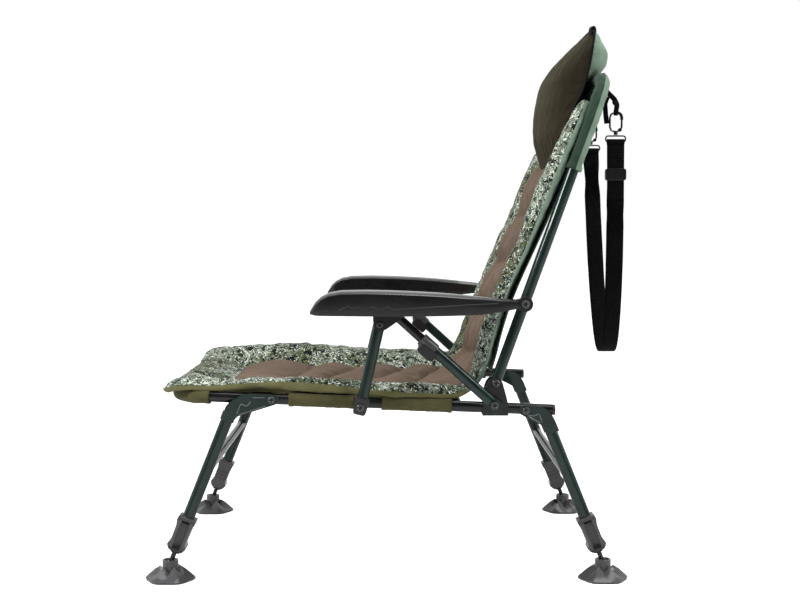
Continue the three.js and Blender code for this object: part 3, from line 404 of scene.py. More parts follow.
def through(pairs):
    """Smooth curve through (place, value) pairs, level beyond its ends."""
    places = [p for p, _ in pairs]
    values = [v for _, v in pairs]

    def slope(i):
        a, b = max(i - 1, 0), min(i + 1, len(pairs) - 1)
        return (values[b] - values[a]) / (places[b] - places[a])

    def value(place):
        if place <= places[0]:
            return values[0]
        if place >= places[-1]:
            return values[-1]
        i = next(k for k, p in enumerate(places) if p > place)
        run = places[i] - places[i - 1]
        t = (place - places[i - 1]) / run
        ease = t * t * (3 - 2 * t)
        bend = slope(i - 1) * t * (1 - t) ** 2 - slope(i) * t * t * (1 - t)
        return values[i - 1] + (values[i] - values[i - 1]) * ease + run * bend

    return value


class SideLine:
    """A smooth line through places in the side view, measured along its length."""

    def __init__(self, places):
        stations = [0]
        for a, b in zip(places, places[1:]):
            stations.append(stations[-1] + math.dist(a, b))
        ys = through(list(zip(stations, [p[0] for p in places])))
        zs = through(list(zip(stations, [p[1] for p in places])))
        self.dense = np.array([(ys(s), zs(s)) for s in np.linspace(0, stations[-1], 700)])
        steps = np.linalg.norm(np.diff(self.dense, axis=0), axis=1)
        self.reach = np.concatenate([[0], np.cumsum(steps)])
        self.length = float(self.reach[-1])

    def place(self, s):
        return np.array([np.interp(s, self.reach, self.dense[:, k]) for k in (0, 1)])

    def at(self, s, height=0.0):
        """The place at s along the line, height out of its upper or front face."""
        here = self.place(min(max(s, 0), self.length))
        along = self.place(min(s + 3, self.length)) - self.place(max(s - 3, 0))
        along /= math.hypot(*along)
        here = here + along * (s - min(max(s, 0), self.length))
        return here[0] - along[1] * height, here[1] + along[0] * height

    def near(self, place):
        """How far along the line its nearest place is."""
        return float(self.reach[np.argmin(np.linalg.norm(self.dense - np.array(place), axis=1))])


def bands(count, ring, start=0, closed=False):
    """The quads between count rings of points, each ring closed on itself."""
    faces = []
    for i in range(count if closed else count - 1):
        a, b = start + i * ring, start + (i + 1) % count * ring
        faces += [(a + k, a + (k + 1) % ring, b + (k + 1) % ring, b + k) for k in range(ring)]
    return faces


def build(name, points, faces, materials, zones=None, body=None):
    """A mesh object from points in millimetres. zones gives each face's material."""
    data = bpy.data.meshes.new(name)
    data.from_pydata([(x * MM, y * MM, z * MM) for x, y, z in points], [], faces)
    piece = bpy.data.objects.new(name, data)
    bpy.context.scene.collection.objects.link(piece)
    for finish in materials:
        data.materials.append(finish.material)
    if zones:
        data.polygons.foreach_set("material_index", zones)
    data.polygons.foreach_set("use_smooth", [True] * len(data.polygons))
    work = bmesh.new()
    work.from_mesh(data)
    bmesh.ops.recalc_face_normals(work, faces=work.faces)
    work.to_mesh(data)
    work.free()
    if body:
        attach(piece, body)
    return piece


def apply_modifiers(piece):
    evaluated = piece.evaluated_get(bpy.context.evaluated_depsgraph_get())
    made = bpy.data.meshes.new_from_object(evaluated)
    old = piece.data
    piece.modifiers.clear()
    piece.data = made
    bpy.data.meshes.remove(old)


def subdivide(piece, levels=1):
    modifier = piece.modifiers.new("subdivision", "SUBSURF")
    modifier.levels = modifier.render_levels = levels
    apply_modifiers(piece)


def coordinates(piece):
    co = np.empty(len(piece.data.vertices) * 3, np.float32)
    piece.data.vertices.foreach_get("co", co)
    return co.reshape(-1, 3)


INFLATE_FRAMES = 20
AIR_CLOTH = {
    "quality": 6, "mass": 0.25, "tension_stiffness": 12, "compression_stiffness": 12,
    "shear_stiffness": 4, "bending_stiffness": 0.15, "use_pressure": True,
    "uniform_pressure_force": 4.0,
}


def inflate(piece, pinned, cap, slack):
    """Cloth simulation with air pressure. No point moves further than cap, in millimetres."""
    group = piece.vertex_groups.new(name="pin")
    group.add([int(i) for i in pinned], 1.0, "REPLACE")
    start = coordinates(piece)
    modifier = piece.modifiers.new("cloth", "CLOTH")
    settings = modifier.settings
    for key, value in AIR_CLOTH.items():
        setattr(settings, key, value)
    settings.shrink_min = -slack
    settings.vertex_group_mass = group.name
    settings.effector_weights.gravity = 0
    modifier.collision_settings.use_collision = False
    modifier.point_cache.frame_end = INFLATE_FRAMES
    scene = bpy.context.scene
    for step in range(1, INFLATE_FRAMES + 1):
        scene.frame_set(step)
    evaluated = piece.evaluated_get(bpy.context.evaluated_depsgraph_get())
    swollen = np.empty(len(evaluated.data.vertices) * 3, np.float32)
    evaluated.data.vertices.foreach_get("co", swollen)
    move = np.nan_to_num(swollen.reshape(-1, 3) - start, nan=0.0, posinf=0.0, neginf=0.0)
    length = np.linalg.norm(move, axis=1, keepdims=True)
    # A point that the simulation threw off stays where it was.
    move *= np.where(length > 12 * cap * MM, 0.0, np.minimum(1, cap * MM / np.maximum(length, 1e-9)))
    piece.modifiers.remove(modifier)
    piece.vertex_groups.remove(group)
    scene.frame_set(1)
    piece.data.vertices.foreach_set("co", (start + move).astype(np.float32).ravel())
    piece.data.update()


def wrinkle(piece, amount, size, seed):
    """Moves points along their normals by soft noise. amount and size are in millimetres."""
    data = piece.data
    moved = []
    for vertex in data.vertices:
        place = vertex.co / MM / size
        lift = noise.noise(place + Vector((seed, seed * 1.7, -seed))) * amount
        moved.append(vertex.co + vertex.normal * lift * MM)
    for vertex, place in zip(data.vertices, moved):
        vertex.co = place
    data.update()


def bent(corners, radius, steps=8):
    """Straight runs joined by arcs of one radius, as points."""
    line = [Vector(corners[0])]
    for a, b, c in zip(corners, corners[1:], corners[2:]):
        a, b, c = Vector(a), Vector(b), Vector(c)
        into, out = (b - a).normalized(), (c - b).normalized()
        turn = into.angle(out)
        reach = radius * math.tan(turn / 2)
        inward = (out - into * out.dot(into)).normalized()
        centre = b - into * reach + inward * radius
        for k in range(steps + 1):
            angle = turn * k / steps
            line.append(centre - inward * radius * math.cos(angle) + into * radius * math.sin(angle))
    line.append(Vector(corners[-1]))
    return line


def spaced(line, step):
    """The same line with points about step apart."""
    line = [Vector(p) for p in line]
    made = [line[0]]
    for a, b in zip(line, line[1:]):
        count = max(1, round((b - a).length / step))
        made += [a.lerp(b, (k + 1) / count) for k in range(count)]
    return made


def softened(line, rounds):
    """The same line with each place drawn towards its neighbours, its ends kept."""
    for _ in range(rounds):
        line = [line[0], *[(a + b * 2 + c) / 4 for a, b, c in zip(line, line[1:], line[2:])], line[-1]]
    return line


def headings(line, closed=False):
    count = len(line)
    if closed:
        return [(line[(i + 1) % count] - line[i - 1]).normalized() for i in range(count)]
    return [(line[min(i + 1, count - 1)] - line[max(i - 1, 0)]).normalized() for i in range(count)]


def sweep(name, path, radius, finish, body, sides=16, closed=False):
    """A round tube along points in millimetres. radius may be one number or one for each point."""
    line = [Vector(p) for p in path]
    count = len(line)
    radii = radius if hasattr(radius, "__len__") else [radius] * count
    normal = None
    points = []
    for p, along, r in zip(line, headings(line, closed), radii):
        if normal is None:
            normal = along.orthogonal().normalized()
        normal = (normal - along * normal.dot(along)).normalized()
        side = along.cross(normal)
        for k in range(sides):
            angle = 2 * math.pi * k / sides
            points.append(p + (normal * math.cos(angle) + side * math.sin(angle)) * r)
    faces = bands(count, sides, closed=closed)
    if not closed:
        faces += [tuple(range(sides)), tuple((count - 1) * sides + k for k in range(sides))]
    return build(name, points, faces, [finish], body=body)


def ribbon(name, path, widths, width, thickness, finish, body):
    """A flat tape along a path with soft edges. widths(i) gives the direction of its width."""
    line = [Vector(p) for p in path]
    across = [-1, -0.9, -0.45, 0, 0.45, 0.9, 1]
    thick = [0.25, 0.92, 1, 1, 1, 0.92, 0.25]
    points = []
    ring = 2 * len(across)
    for i, (p, along) in enumerate(zip(line, headings(line))):
        side = Vector(widths(i))
        side = (side - along * side.dot(along)).normalized()
        out = along.cross(side)
        upper = [p + side * (a * width / 2) + out * (t * thickness / 2) for a, t in zip(across, thick)]
        lower = [p + side * (a * width / 2) - out * (t * thickness / 2) for a, t in zip(across, thick)]
        points += upper + lower[::-1]
    faces = bands(len(line), ring)
    for base in (0, (len(line) - 1) * ring):
        n = len(across)
        faces += [(base + k, base + k + 1, base + ring - 2 - k, base + ring - 1 - k) for k in range(n - 1)]
    return build(name, points, faces, [finish], body=body)


def sleeve(name, path, facing, shape, inner, finishes, body, sides=32):
    """A cloth tube round a frame tube. shape(i, share, angle) gives its outer radius and its finish.

    The angle is measured from facing, the same direction all along. The cloth is closed at both hems.
    """
    line = [Vector(p) for p in path]
    count = len(line)
    facing = Vector(facing)
    outside, inside, zones = [], [], []
    for i, (p, along) in enumerate(zip(line, headings(line))):
        normal = (facing - along * facing.dot(along)).normalized()
        side = along.cross(normal)
        for k in range(sides):
            angle = 2 * math.pi * k / sides
            radius, zone = shape(i, i / (count - 1), angle)
            out = normal * math.cos(angle) + side * math.sin(angle)
            outside.append(p + out * radius)
            inside.append(p + out * inner)
            if i < count - 1:
                zones.append(zone)
    total = count * sides
    faces = bands(count, sides) + [quad[::-1] for quad in bands(count, sides, total)]
    for row in (0, count - 1):
        a = row * sides
        faces += [
            (a + k, a + (k + 1) % sides, total + a + (k + 1) % sides, total + a + k) for k in range(sides)
        ]
    zones = zones + zones + [0] * (2 * sides)
    return build(name, outside + inside, faces, finishes, zones, body=body)


def lathe(name, middle, axis, profile, finish, body, sides=24):
    """A turned piece. profile gives a radius and a height along the axis, from the middle.

    Both of its ends are on the axis.
    """
    middle, axis = Vector(middle), Vector(axis).normalized()
    u = axis.orthogonal().normalized()
    v = axis.cross(u)
    points = [middle + axis * profile[0][1]]
    for r, h in profile[1:-1]:
        for k in range(sides):
            angle = 2 * math.pi * k / sides
            points.append(middle + axis * h + (u * math.cos(angle) + v * math.sin(angle)) * r)
    points.append(middle + axis * profile[-1][1])
    rings = len(profile) - 2
    last = len(points) - 1
    faces = [(0, 1 + k, 1 + (k + 1) % sides) for k in range(sides)]
    for i in range(rings - 1):
        a, b = 1 + i * sides, 1 + (i + 1) * sides
        faces += [(a + k, b + k, b + (k + 1) % sides, a + (k + 1) % sides) for k in range(sides)]
    a = 1 + (rings - 1) * sides
    faces += [(a + k, last, a + (k + 1) % sides) for k in range(sides)]
    return build(name, points, faces, [finish], body=body)


def merge(name, *pieces):
    """Joins pieces into the first one, which keeps its body and slot."""
    first = pieces[0]
    with bpy.context.temp_override(
        active_object=first, object=first, selected_objects=pieces, selected_editable_objects=pieces,
    ):
        bpy.ops.object.join()
    first.name = name
    return first


# Quilted mattress: one pad from the front of the seat, through the crease, to the top of the back

MATTRESS_BASE = [
    (-374, 308), (-354, 314.2), (-330, 313.4), (-286, 311.2), (-245, 311.4), (-205, 311.4),
    (-148, 308.2), (-100, 305.6), (-50, 303), (0, 300.6), (50, 298.6), (105, 296.6),
    (123, 304), (141, 322), (155, 352), (163, 387), (186, 461), (242, 588), (281, 680), (321, 776),
]
# At a place on the base: the pad's half width, how far its near side hangs below the base, and the
# heights over the base of that side's plain strip, near crest, near seam, middle, far seam, far crest
# and far edge
MATTRESS_ROWS = [
    ((-374, 308), 242, 2, 1, 3, 3, 3, 7, 11, 5),
    ((-366, 311.2), 253, 9, 2, 6, 5, 5, 10, 15, 6),
    ((-352, 314.0), 260, 7, 3, 9.5, 6, 5, 10, 17, 6),
    ((-330, 313.4), 262, 5, 5, 13, 4, 2, 6, 18.5, 6),
    ((-312, 312.5), 262, 4, 6, 15.5, 1, -3, 1, 21, 7),
    ((-284, 311.2), 262, 3, 7.5, 16.5, -6, -10, -9, 25, 8),
    ((-245, 311.4), 262, 0.5, 9.5, 17, -9, -11, -9.5, 27, 8),
    ((-184, 310.4), 262, 0, 13, 17, -9, -9, -9, 29.5, 8),
    ((-148, 308.2), 262, 0, 15, 20, -8, -9, -8, 29.5, 8),
    ((-100, 305.6), 262, 0, 14.5, 20, -7, -8, -6.6, 28.5, 8),
    ((-50, 303), 262, 1, 11.5, 19, -5, -7, -5, 27.5, 8),
    ((0, 300.6), 262, 2, 8.5, 18, -3, -6, -3, 27, 8),
    ((50, 298.6), 262, 3, 7, 19, 1, -4, 4, 28.5, 8),
    ((105, 296.6), 255, 2, 7, 18, 4, 0, 9, 27, 8),
    ((123, 304), 251, 0, 7, 17, 6, 1, 10, 25, 8),
    ((141, 322), 250, 0, 6, 19, 8, 2, 11, 24, 8),
    ((155, 352), 255, 0, 5, 22, 9, 2, 11, 23, 7),
    ((163, 387), 258, 0, 4, 21, 8, 1, 10, 19.5, 7),
    ((186, 461), 258, 0, 4, 17, 5, -4, 6, 13, 6),
    ((214, 525), 258, 0, 5, 19, 4, -5, 4, 11.5, 5),
    ((242, 588), 258, 0, 7, 23.5, 5, -5, 3, 12, 4),
    ((281, 680), 258, 0, 10, 22.5, 6, -4, 1.5, 11.5, 3),
    ((306, 740), 256, 0, 9, 20.5, 6, -2, 1, 8, 3),
    ((321, 776), 234, 0, 7, 13, 5, 1, 1, 5, 3),
]
PANEL_X = 172
FRONT_BORDER = 94
TOP_BORDER = 70
PUFF = 13
BACK_PUFF = 12
PAD_SWELL = 5
STRIP_LIFT = 4.5
ROW_STEP = 5.4


def mattress_columns(half):
    """Where the pad's points lie across it: level steps on the panel, closer ones to its sides."""
    inner = np.linspace(-PANEL_X, PANEL_X, 61)
    share = np.linspace(0, 1, 13)[1:]
    outer = PANEL_X + (half - PANEL_X) * (1 - (1 - share) ** 1.3)
    return [*(-outer[::-1]), *inner, *outer]


class Mattress:
    """The pad as curves of s, the way along MATTRESS_BASE from its front edge."""

    def __init__(self):
        self.line = SideLine(MATTRESS_BASE)
        marks = [self.line.near(row[0]) for row in MATTRESS_ROWS]
        columns = list(zip(*[row[1:] for row in MATTRESS_ROWS]))
        curves = [through(list(zip(marks, column))) for column in columns]
        (self.half, self.drop, self.strip, self.near_crest, self.near_seam, self.middle,
         self.far_seam, self.far_crest, self.far_edge) = curves
        near = self.line.near
        self.crease = near((123, 304))
        self.top = self.line.length - TOP_BORDER
        first_back = near((155, 352))
        seat_seams = [near(p) for p in ((-172, 309.6), (-110, 306.1), (-26, 301.8), (54, 298.5))]
        self.seams = seat_seams + [first_back + 92 * k for k in range(5)]
        self.depth = through([(near(p), depth) for p, depth in (
            ((-374, 308), 0), ((-338, 313.8), 0.4), ((-292, 311.5), 20), ((-255, 311.3), 24),
            ((30, 299.4), 24), ((70, 297.8), 14), ((90, 297.1), 4.5), ((123, 304), 4), ((155, 352), 7),
            ((281, 680), 8), ((321, 776), 3),
        )])
        self.pleats = [near((-254, 311.3)), near((-166, 309.5))]
        # How far each seam runs back or up for each millimetre towards +X
        self.slant = through([
            (FRONT_BORDER, 0), (seat_seams[0], -0.14), (seat_seams[1], -0.26), (seat_seams[2], -0.31),
            (seat_seams[3], -0.25), (first_back, 0.13), (self.top - 60, 0.11), (self.top, 0),
        ])

    def warp(self, s, x):
        """How far a point at x is moved along s, so that the seams slant and bow."""
        side = abs(x)
        fade = 1 - 0.75 * smoothstep((side - PANEL_X) / 80)
        bow = 7 * (1 - min(1, side / PANEL_X) ** 2)
        inside = smoothstep((s - FRONT_BORDER) / 60) * smoothstep((self.top - s) / 50)
        turn = 1 if s < self.crease - 40 else -1
        near_crease = smoothstep(abs(s - self.crease + 40) / 50)
        # The front edge is hollow between its corners.
        recess = 10 * smoothstep((262 - x) / 190) - 3 * smoothstep((-150 - x) / 100)
        recess *= smoothstep(1 - s / 75)
        return fade * (self.slant(s) * x + inside * near_crease * turn * bow) + recess

    def lobe(self, s):
        """0 on a seam, 1 midway between two."""
        marks = [FRONT_BORDER, *self.seams, self.top]
        if s <= marks[0] or s >= marks[-1]:
            return 0.0
        i = next(k for k, m in enumerate(marks) if m > s)
        return math.sin(math.pi * (s - marks[i - 1]) / (marks[i] - marks[i - 1])) ** 0.5

    def row(self, s):
        """The pad's height over its base as a function of x, at s along it."""
        half = self.half(s)
        strip = self.strip(s)
        borders = {}
        for side, crest, seam, edge in (
            (1, self.near_crest(s), self.near_seam(s), strip + 3),
            (-1, self.far_crest(s), self.far_seam(s), self.far_edge(s) + 3),
        ):
            rise = crest - seam
            low, high = (0.15, 0.45) if side > 0 else (0.40, 0.85)
            borders[side] = through([
                (PANEL_X, seam), (PANEL_X + 14, seam + low * rise), (PANEL_X + 38, seam + high * rise),
                (half - 30, crest - 0.22 * rise * (side > 0)), (half - 13, crest), (half, edge),
            ])
        middle = self.middle(s)
        puff = (PUFF if s < self.crease else BACK_PUFF) * self.lobe(s)
        roll = smoothstep((s - FRONT_BORDER) / 14) * smoothstep((self.top - s) / 14)

        def height(x):
            side = abs(x)
            border = borders[1 if x > 0 else -1]
            if side >= PANEL_X:
                return border(side)
            seam = border(PANEL_X)
            inward = smoothstep((PANEL_X - side) / 75)
            edge = min(1, (PANEL_X - side) / 34) ** 0.55
            return seam + (middle - seam) * inward + puff * edge * roll
        return height

    def under(self, x, s):
        return -self.depth(s) * UNDER_SHAPE(abs(x)) - 0.3

    def build(self):
        line = self.line
        rows = round(line.length / ROW_STEP)
        stations = [line.length * i / rows for i in range(rows + 1)]
        creases = [FRONT_BORDER, *self.seams, self.top]
        # The nearest row of each seam moves onto it.
        for seam in creases:
            i = min(range(1, rows), key=lambda k: abs(stations[k] - seam))
            stations[i] = seam
        points, zones, pinned = [], [], []
        sides = 5
        for r, s in enumerate(stations):
            half = self.half(s)
            height = self.row(s)
            xs = mattress_columns(half)
            n = len(xs)
            upper = [(x, *line.at(s + self.warp(s, x), height(x))) for x in xs]
            lower = [(x * 0.985, *line.at(s + self.warp(s, x), self.under(x, s))) for x in xs]
            walls = []
            for side, strip, drop in (
                (1, self.strip(s), self.drop(s)), (-1, self.far_edge(s), 0),
            ):
                along = s + self.warp(s, side * half)
                if side > 0 and self.pleats[0] < s < self.pleats[1]:
                    drop -= STRIP_LIFT * (s - self.pleats[0]) / (self.pleats[1] - self.pleats[0])
                tall = strip + drop
                pucker = 0.8 * noise.noise(Vector((s / 17, side * 7.0, 0.3)))
                pleat = 2.2 * max(math.exp(-(((s - mark) / 3.2) ** 2)) for mark in self.pleats)
                walls.append([
                    (side * (half + out - pleat), *line.at(along, level))
                    for level, out in (
                        (strip + 1.6, 2.4), (strip, 0.7), (strip - 0.3 * tall, 2.6 + pucker),
                        (strip - 0.68 * tall, 2.2 - pucker), (0.5 - drop, 1.0),
                    )
                ])
            base = len(points)
            loop = upper + walls[0] + lower[::-1] + walls[1][::-1]
            ring = len(loop)
            points += loop
            on_seam = any(abs(s - seam) < 0.1 for seam in creases)
            framed = FRONT_BORDER <= s <= self.top
            for j in range(ring):
                on_edge = j < n and abs(abs(xs[j]) - PANEL_X) < 0.1
                if j < n and ((on_seam and abs(xs[j]) < PANEL_X + 1) or (on_edge and framed)):
                    pinned.append(base + j)
                elif j >= n + 1:
                    pinned.append(base + j)
            if r in (0, rows):
                pinned += list(range(base, base + ring))
        across = mattress_columns(RAIL_X)
        flat = [abs((a + b) / 2) < PANEL_X for a, b in zip(across, across[1:])]
        for r in range(rows):
            middle = (stations[r] + stations[r + 1]) / 2
            plain = 2 if middle < self.crease else 3
            panel = FRONT_BORDER < middle < self.top
            for j in range(ring):
                if j < n - 1:
                    zones.append(1 if panel and flat[j] else 0)
                elif n - 1 <= j < n + 1 or j >= ring - 2:
                    zones.append(0)
                else:
                    zones.append(plain)
        faces = bands(rows + 1, ring)
        # End walls: strips between the upper and the lower edge
        for r, plain in ((0, 0), (rows, 3)):
            base = r * ring
            top = [base + j for j in range(n)]
            bottom = [base + n + sides + (n - 1 - j) for j in range(n)]
            for j in range(n - 1):
                faces.append((top[j], top[j + 1], bottom[j + 1], bottom[j]))
                zones.append(plain)
            right = [base + n + k for k in range(sides)]
            left = [base + 2 * n + sides + k for k in range(sides)]
            faces.append((top[-1], *right, bottom[-1]))
            faces.append((bottom[0], *left, top[0]))
            zones += [plain, plain]
        self.pinned = pinned
        return build(
            "mattress_quilt", points, faces, [CAMO_CLOTH, PANEL_CLOTH, OLIVE_CLOTH, SAGE_CLOTH], zones,
        )


UNDER_SHAPE = through([(0, 1.08), (120, 1.0), (PANEL_X, 0.88), (230, 0.72), (246, 0.12), (251, 0.0)])


def press(piece, start, end, depth, width):
    """Sews a line into the upper face of a piece. start and end are places in plan, in millimetres."""
    start, run = np.array(start), np.array(end) - np.array(start)
    places = coordinates(piece) / MM
    upright = np.empty(len(places) * 3, np.float32)
    piece.data.vertices.foreach_get("normal", upright)
    share = np.clip((places[:, :2] - start) @ run / (run @ run), 0, 1)
    off = np.linalg.norm(places[:, :2] - start - share[:, None] * run, axis=1)
    places[:, 2] -= depth * np.exp(-((off / width) ** 2)) * (upright.reshape(-1, 3)[:, 2] > 0.3)
    piece.data.vertices.foreach_set("co", (places * MM).astype(np.float32).ravel())
    piece.data.update()


def mattress():
    pad = Mattress()
    piece = pad.build()
    inflate(piece, pad.pinned, PAD_SWELL, 0.015)
    wrinkle(piece, 2.2, 26, 3.0)
    subdivide(piece)
    wrinkle(piece, 0.8, 9, 6.0)
    for side in (-1, 1):
        press(piece, (side * 252, -332), (side * 173, -283), 3.2, 3.4)
    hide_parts("seat_mattress", "back_mattress")
    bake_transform(piece)


# Seat cloth: a sagging sheet between the rails, a pocket round the front and two sleeves on each rail

def cloth_sheet(name, upper, thickness, finish, body):
    """A closed sheet from a grid of points, its other face the thickness behind them."""
    rows, columns = len(upper), len(upper[0])
    flat = [Vector(p) for row in upper for p in row]
    normals = [Vector((0, 0, 0)) for _ in flat]
    quads = []
    for i in range(rows - 1):
        for j in range(columns - 1):
            a = i * columns + j
            quads.append((a, a + 1, a + columns + 1, a + columns))
    for quad in quads:
        a, b, c, d = (flat[k] for k in quad)
        square = (c - a).cross(d - b)
        for k in quad:
            normals[k] += square
    under = [p - n.normalized() * thickness for p, n in zip(flat, normals)]
    total = len(flat)
    faces = quads + [tuple(total + k for k in quad[::-1]) for quad in quads]
    rim = list(range(columns)) + [i * columns + columns - 1 for i in range(1, rows)]
    rim += [(rows - 1) * columns + j for j in range(columns - 2, -1, -1)]
    rim += [i * columns for i in range(rows - 2, 0, -1)]
    for a, b in zip(rim, rim[1:] + rim[:1]):
        faces.append((a, b, total + b, total + a))
    return build(name, flat + under, faces, [finish], body=body)


def rail_place(x, y):
    return x, y, rail_height(y)


def seat_cloth():
    front, rear = RAIL_FRONT[0] + 12, 97
    inner_bend = FRAME_BEND - TUBE_R - 2

    # The sheet is narrower at the leg bracket and at the strut's foot, and follows the frame's bend.
    def half(y):
        narrow = 15 * (smoothstep((y + 294) / 8) * smoothstep((-164 - y) / 8))
        narrow += 15 * (smoothstep((y + 62) / 6) * smoothstep((-14 - y) / 6))
        corner = RAIL_X - FRAME_BEND + math.sqrt(max(0, inner_bend**2 - max(0, -294 - y) ** 2))
        return min(249.3 - narrow, corner + 1)

    rows = []
    for y in np.linspace(front, rear, 70):
        width = half(y)
        row = []
        for u in np.linspace(-1, 1, 49):
            x = u * width
            sag = 11 * (1 - (x / 249.5) ** 2)
            ripple = 0.7 * noise.noise(Vector((x / 40, y / 22, 4.0))) * (1 - u**6)
            row.append((x, y, rail_height(y) - 3.2 - sag + ripple))
        rows.append(row)
    sheet = cloth_sheet("seat_cloth", rows, 1.6, OLIVE_CLOTH, "seat_frame")
    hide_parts("seat_sling")

    def wrap(seed, corner_sag=0.0):
        def shape(i, share, angle):
            crumple = noise.noise(Vector((share * 26, math.cos(angle) * 1.4, math.sin(angle) * 1.4 + seed)))
            hem = 0.5 if min(share, 1 - share) * 110 < 7 else 0.0
            ridge = 0.6 * max(0, 1 - abs(abs(angle - math.pi) - 1.2) / 0.14)
            sag = corner_sag * max(0, -math.cos(angle)) * (0.6 + 0.6 * crumple)
            return 10.9 + 0.55 * crumple + hem + ridge + sag, 0
        return shape

    up = (0, 0.04, 1)
    for side, x in (("left", RAIL_X), ("right", -RAIL_X)):
        for part, y0, y1 in (("front", -167, -60), ("rear", -17, 97)):
            path = spaced([rail_place(x, y0), rail_place(x, y1)], 3)
            sleeve(
                f"seat_sleeve_{part}_{side}", path, up, wrap(x * 0.01 + y0), 9.7, [SLEEVE_CLOTH],
                "seat_frame",
            )
    corners = [
        rail_place(RAIL_X, -296), (RAIL_X, *RAIL_FRONT), (-RAIL_X, *RAIL_FRONT), rail_place(-RAIL_X, -296),
    ]
    path = spaced(bent(corners, FRAME_BEND, 14), 4)
    sleeve(
        "seat_front_pocket", path, up, wrap(9.0, 2.4), 9.7, [SLEEVE_CLOTH], "seat_frame",
    )


# Back cloth: a two-tone sleeve over the top of the back frame, its dark front half partly the cloth's own
# colour and partly painted shade from the pad, and a sheet behind the pad

BACK_REAR = (0, 0.941, -0.3385)
HEM_AT = 365


def back_cloth():
    line = SideLine(MATTRESS_BASE)
    start = line.near((151, 342))
    end = line.near((306, 740))
    side_places = [line.at(s, -10.6) for s in np.linspace(start, end, 16)]
    side_places += [(327, 771), (BACK_TOP[0] - 7.5, BACK_TOP[1] - 8.5)]
    spine = SideLine(side_places)
    up = Vector((BACK_TOP[0] - BACK_PIVOT[0], BACK_TOP[1] - BACK_PIVOT[1])).normalized()
    straight = math.dist(BACK_PIVOT, BACK_TOP) - BACK_BEND
    inner_bend = BACK_BEND - TUBE_R - 2
    rows = []
    for s in np.linspace(0, spine.length, 90):
        y, z = spine.at(s)
        climb = (Vector((y, z)) - Vector(BACK_PIVOT)).dot(up)
        sewn = smoothstep((climb - HEM_AT - 4) / 26)
        width = 240 + 7 * sewn
        arc = max(0, climb - straight)
        width = min(width, RAIL_X - BACK_BEND + math.sqrt(max(0, inner_bend**2 - arc**2)) + 0.5)
        tube = on_back(climb)
        row = []
        for u in np.linspace(-1, 1, 49):
            x = u * width
            pull = sewn * smoothstep((abs(x) - width + 42) / 42)
            ripple = 1.1 * noise.noise(Vector((x / 45, s / 30, 8.0))) * (1 - u**4)
            row.append((
                x, y + (tube[0] - y) * pull + ripple * 0.3, z + (tube[1] - z) * pull,
            ))
        rows.append(row)
    sheet = cloth_sheet("back_cloth", rows, 1.6, SAGE_CLOTH, "backrest")
    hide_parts("back_sling")

    corners = [
        (RAIL_X, *on_back(HEM_AT)), (RAIL_X, *BACK_TOP), (-RAIL_X, *BACK_TOP), (-RAIL_X, *on_back(HEM_AT)),
    ]
    path = spaced(bent(corners, BACK_BEND, 16), 3.2)
    total = sum((b - a).length for a, b in zip(path, path[1:]))

    def shape(i, share, angle):
        along = min(share, 1 - share) * total
        rear = math.cos(angle)
        crumple = noise.noise(Vector((share * total / 11, rear * 1.7, math.sin(angle) * 1.7)))
        corner = max(0, 1 - abs(along - 125) / 75)
        hem = 1.4 if along < 9.6 else -0.9 * max(0, 1 - abs(along - 12) / 2.6)
        ridge = 0.8 * max(0, 1 - abs(abs(math.sin(angle)) - 1) / 0.012)
        radius = 11.1 + 0.7 * max(0, rear) + hem + ridge + crumple * (0.9 + 1.9 * corner)
        # The front half, towards the pad, gets the dark green: partly its cloth and partly painted shade.
        return max(10.2, radius), 1 if rear > 0 else 0

    pocket = sleeve(
        "back_sleeve", path, BACK_REAR, shape, 9.7, [DEEP_CLOTH_AND_SHADE, MINT_CLOTH], "backrest",
        sides=40,
    )


# Pillow: fleece in front, plain cloth behind, black binding round its seam

PILLOW_HALF = 182
CORNER_LOOP = [
    (333.4, 903), (332.8, 909), (333.4, 913.4), (335.2, 916.2), (337.2, 916.2), (339.2, 913.4),
    (339.8, 909), (339.2, 903),
]


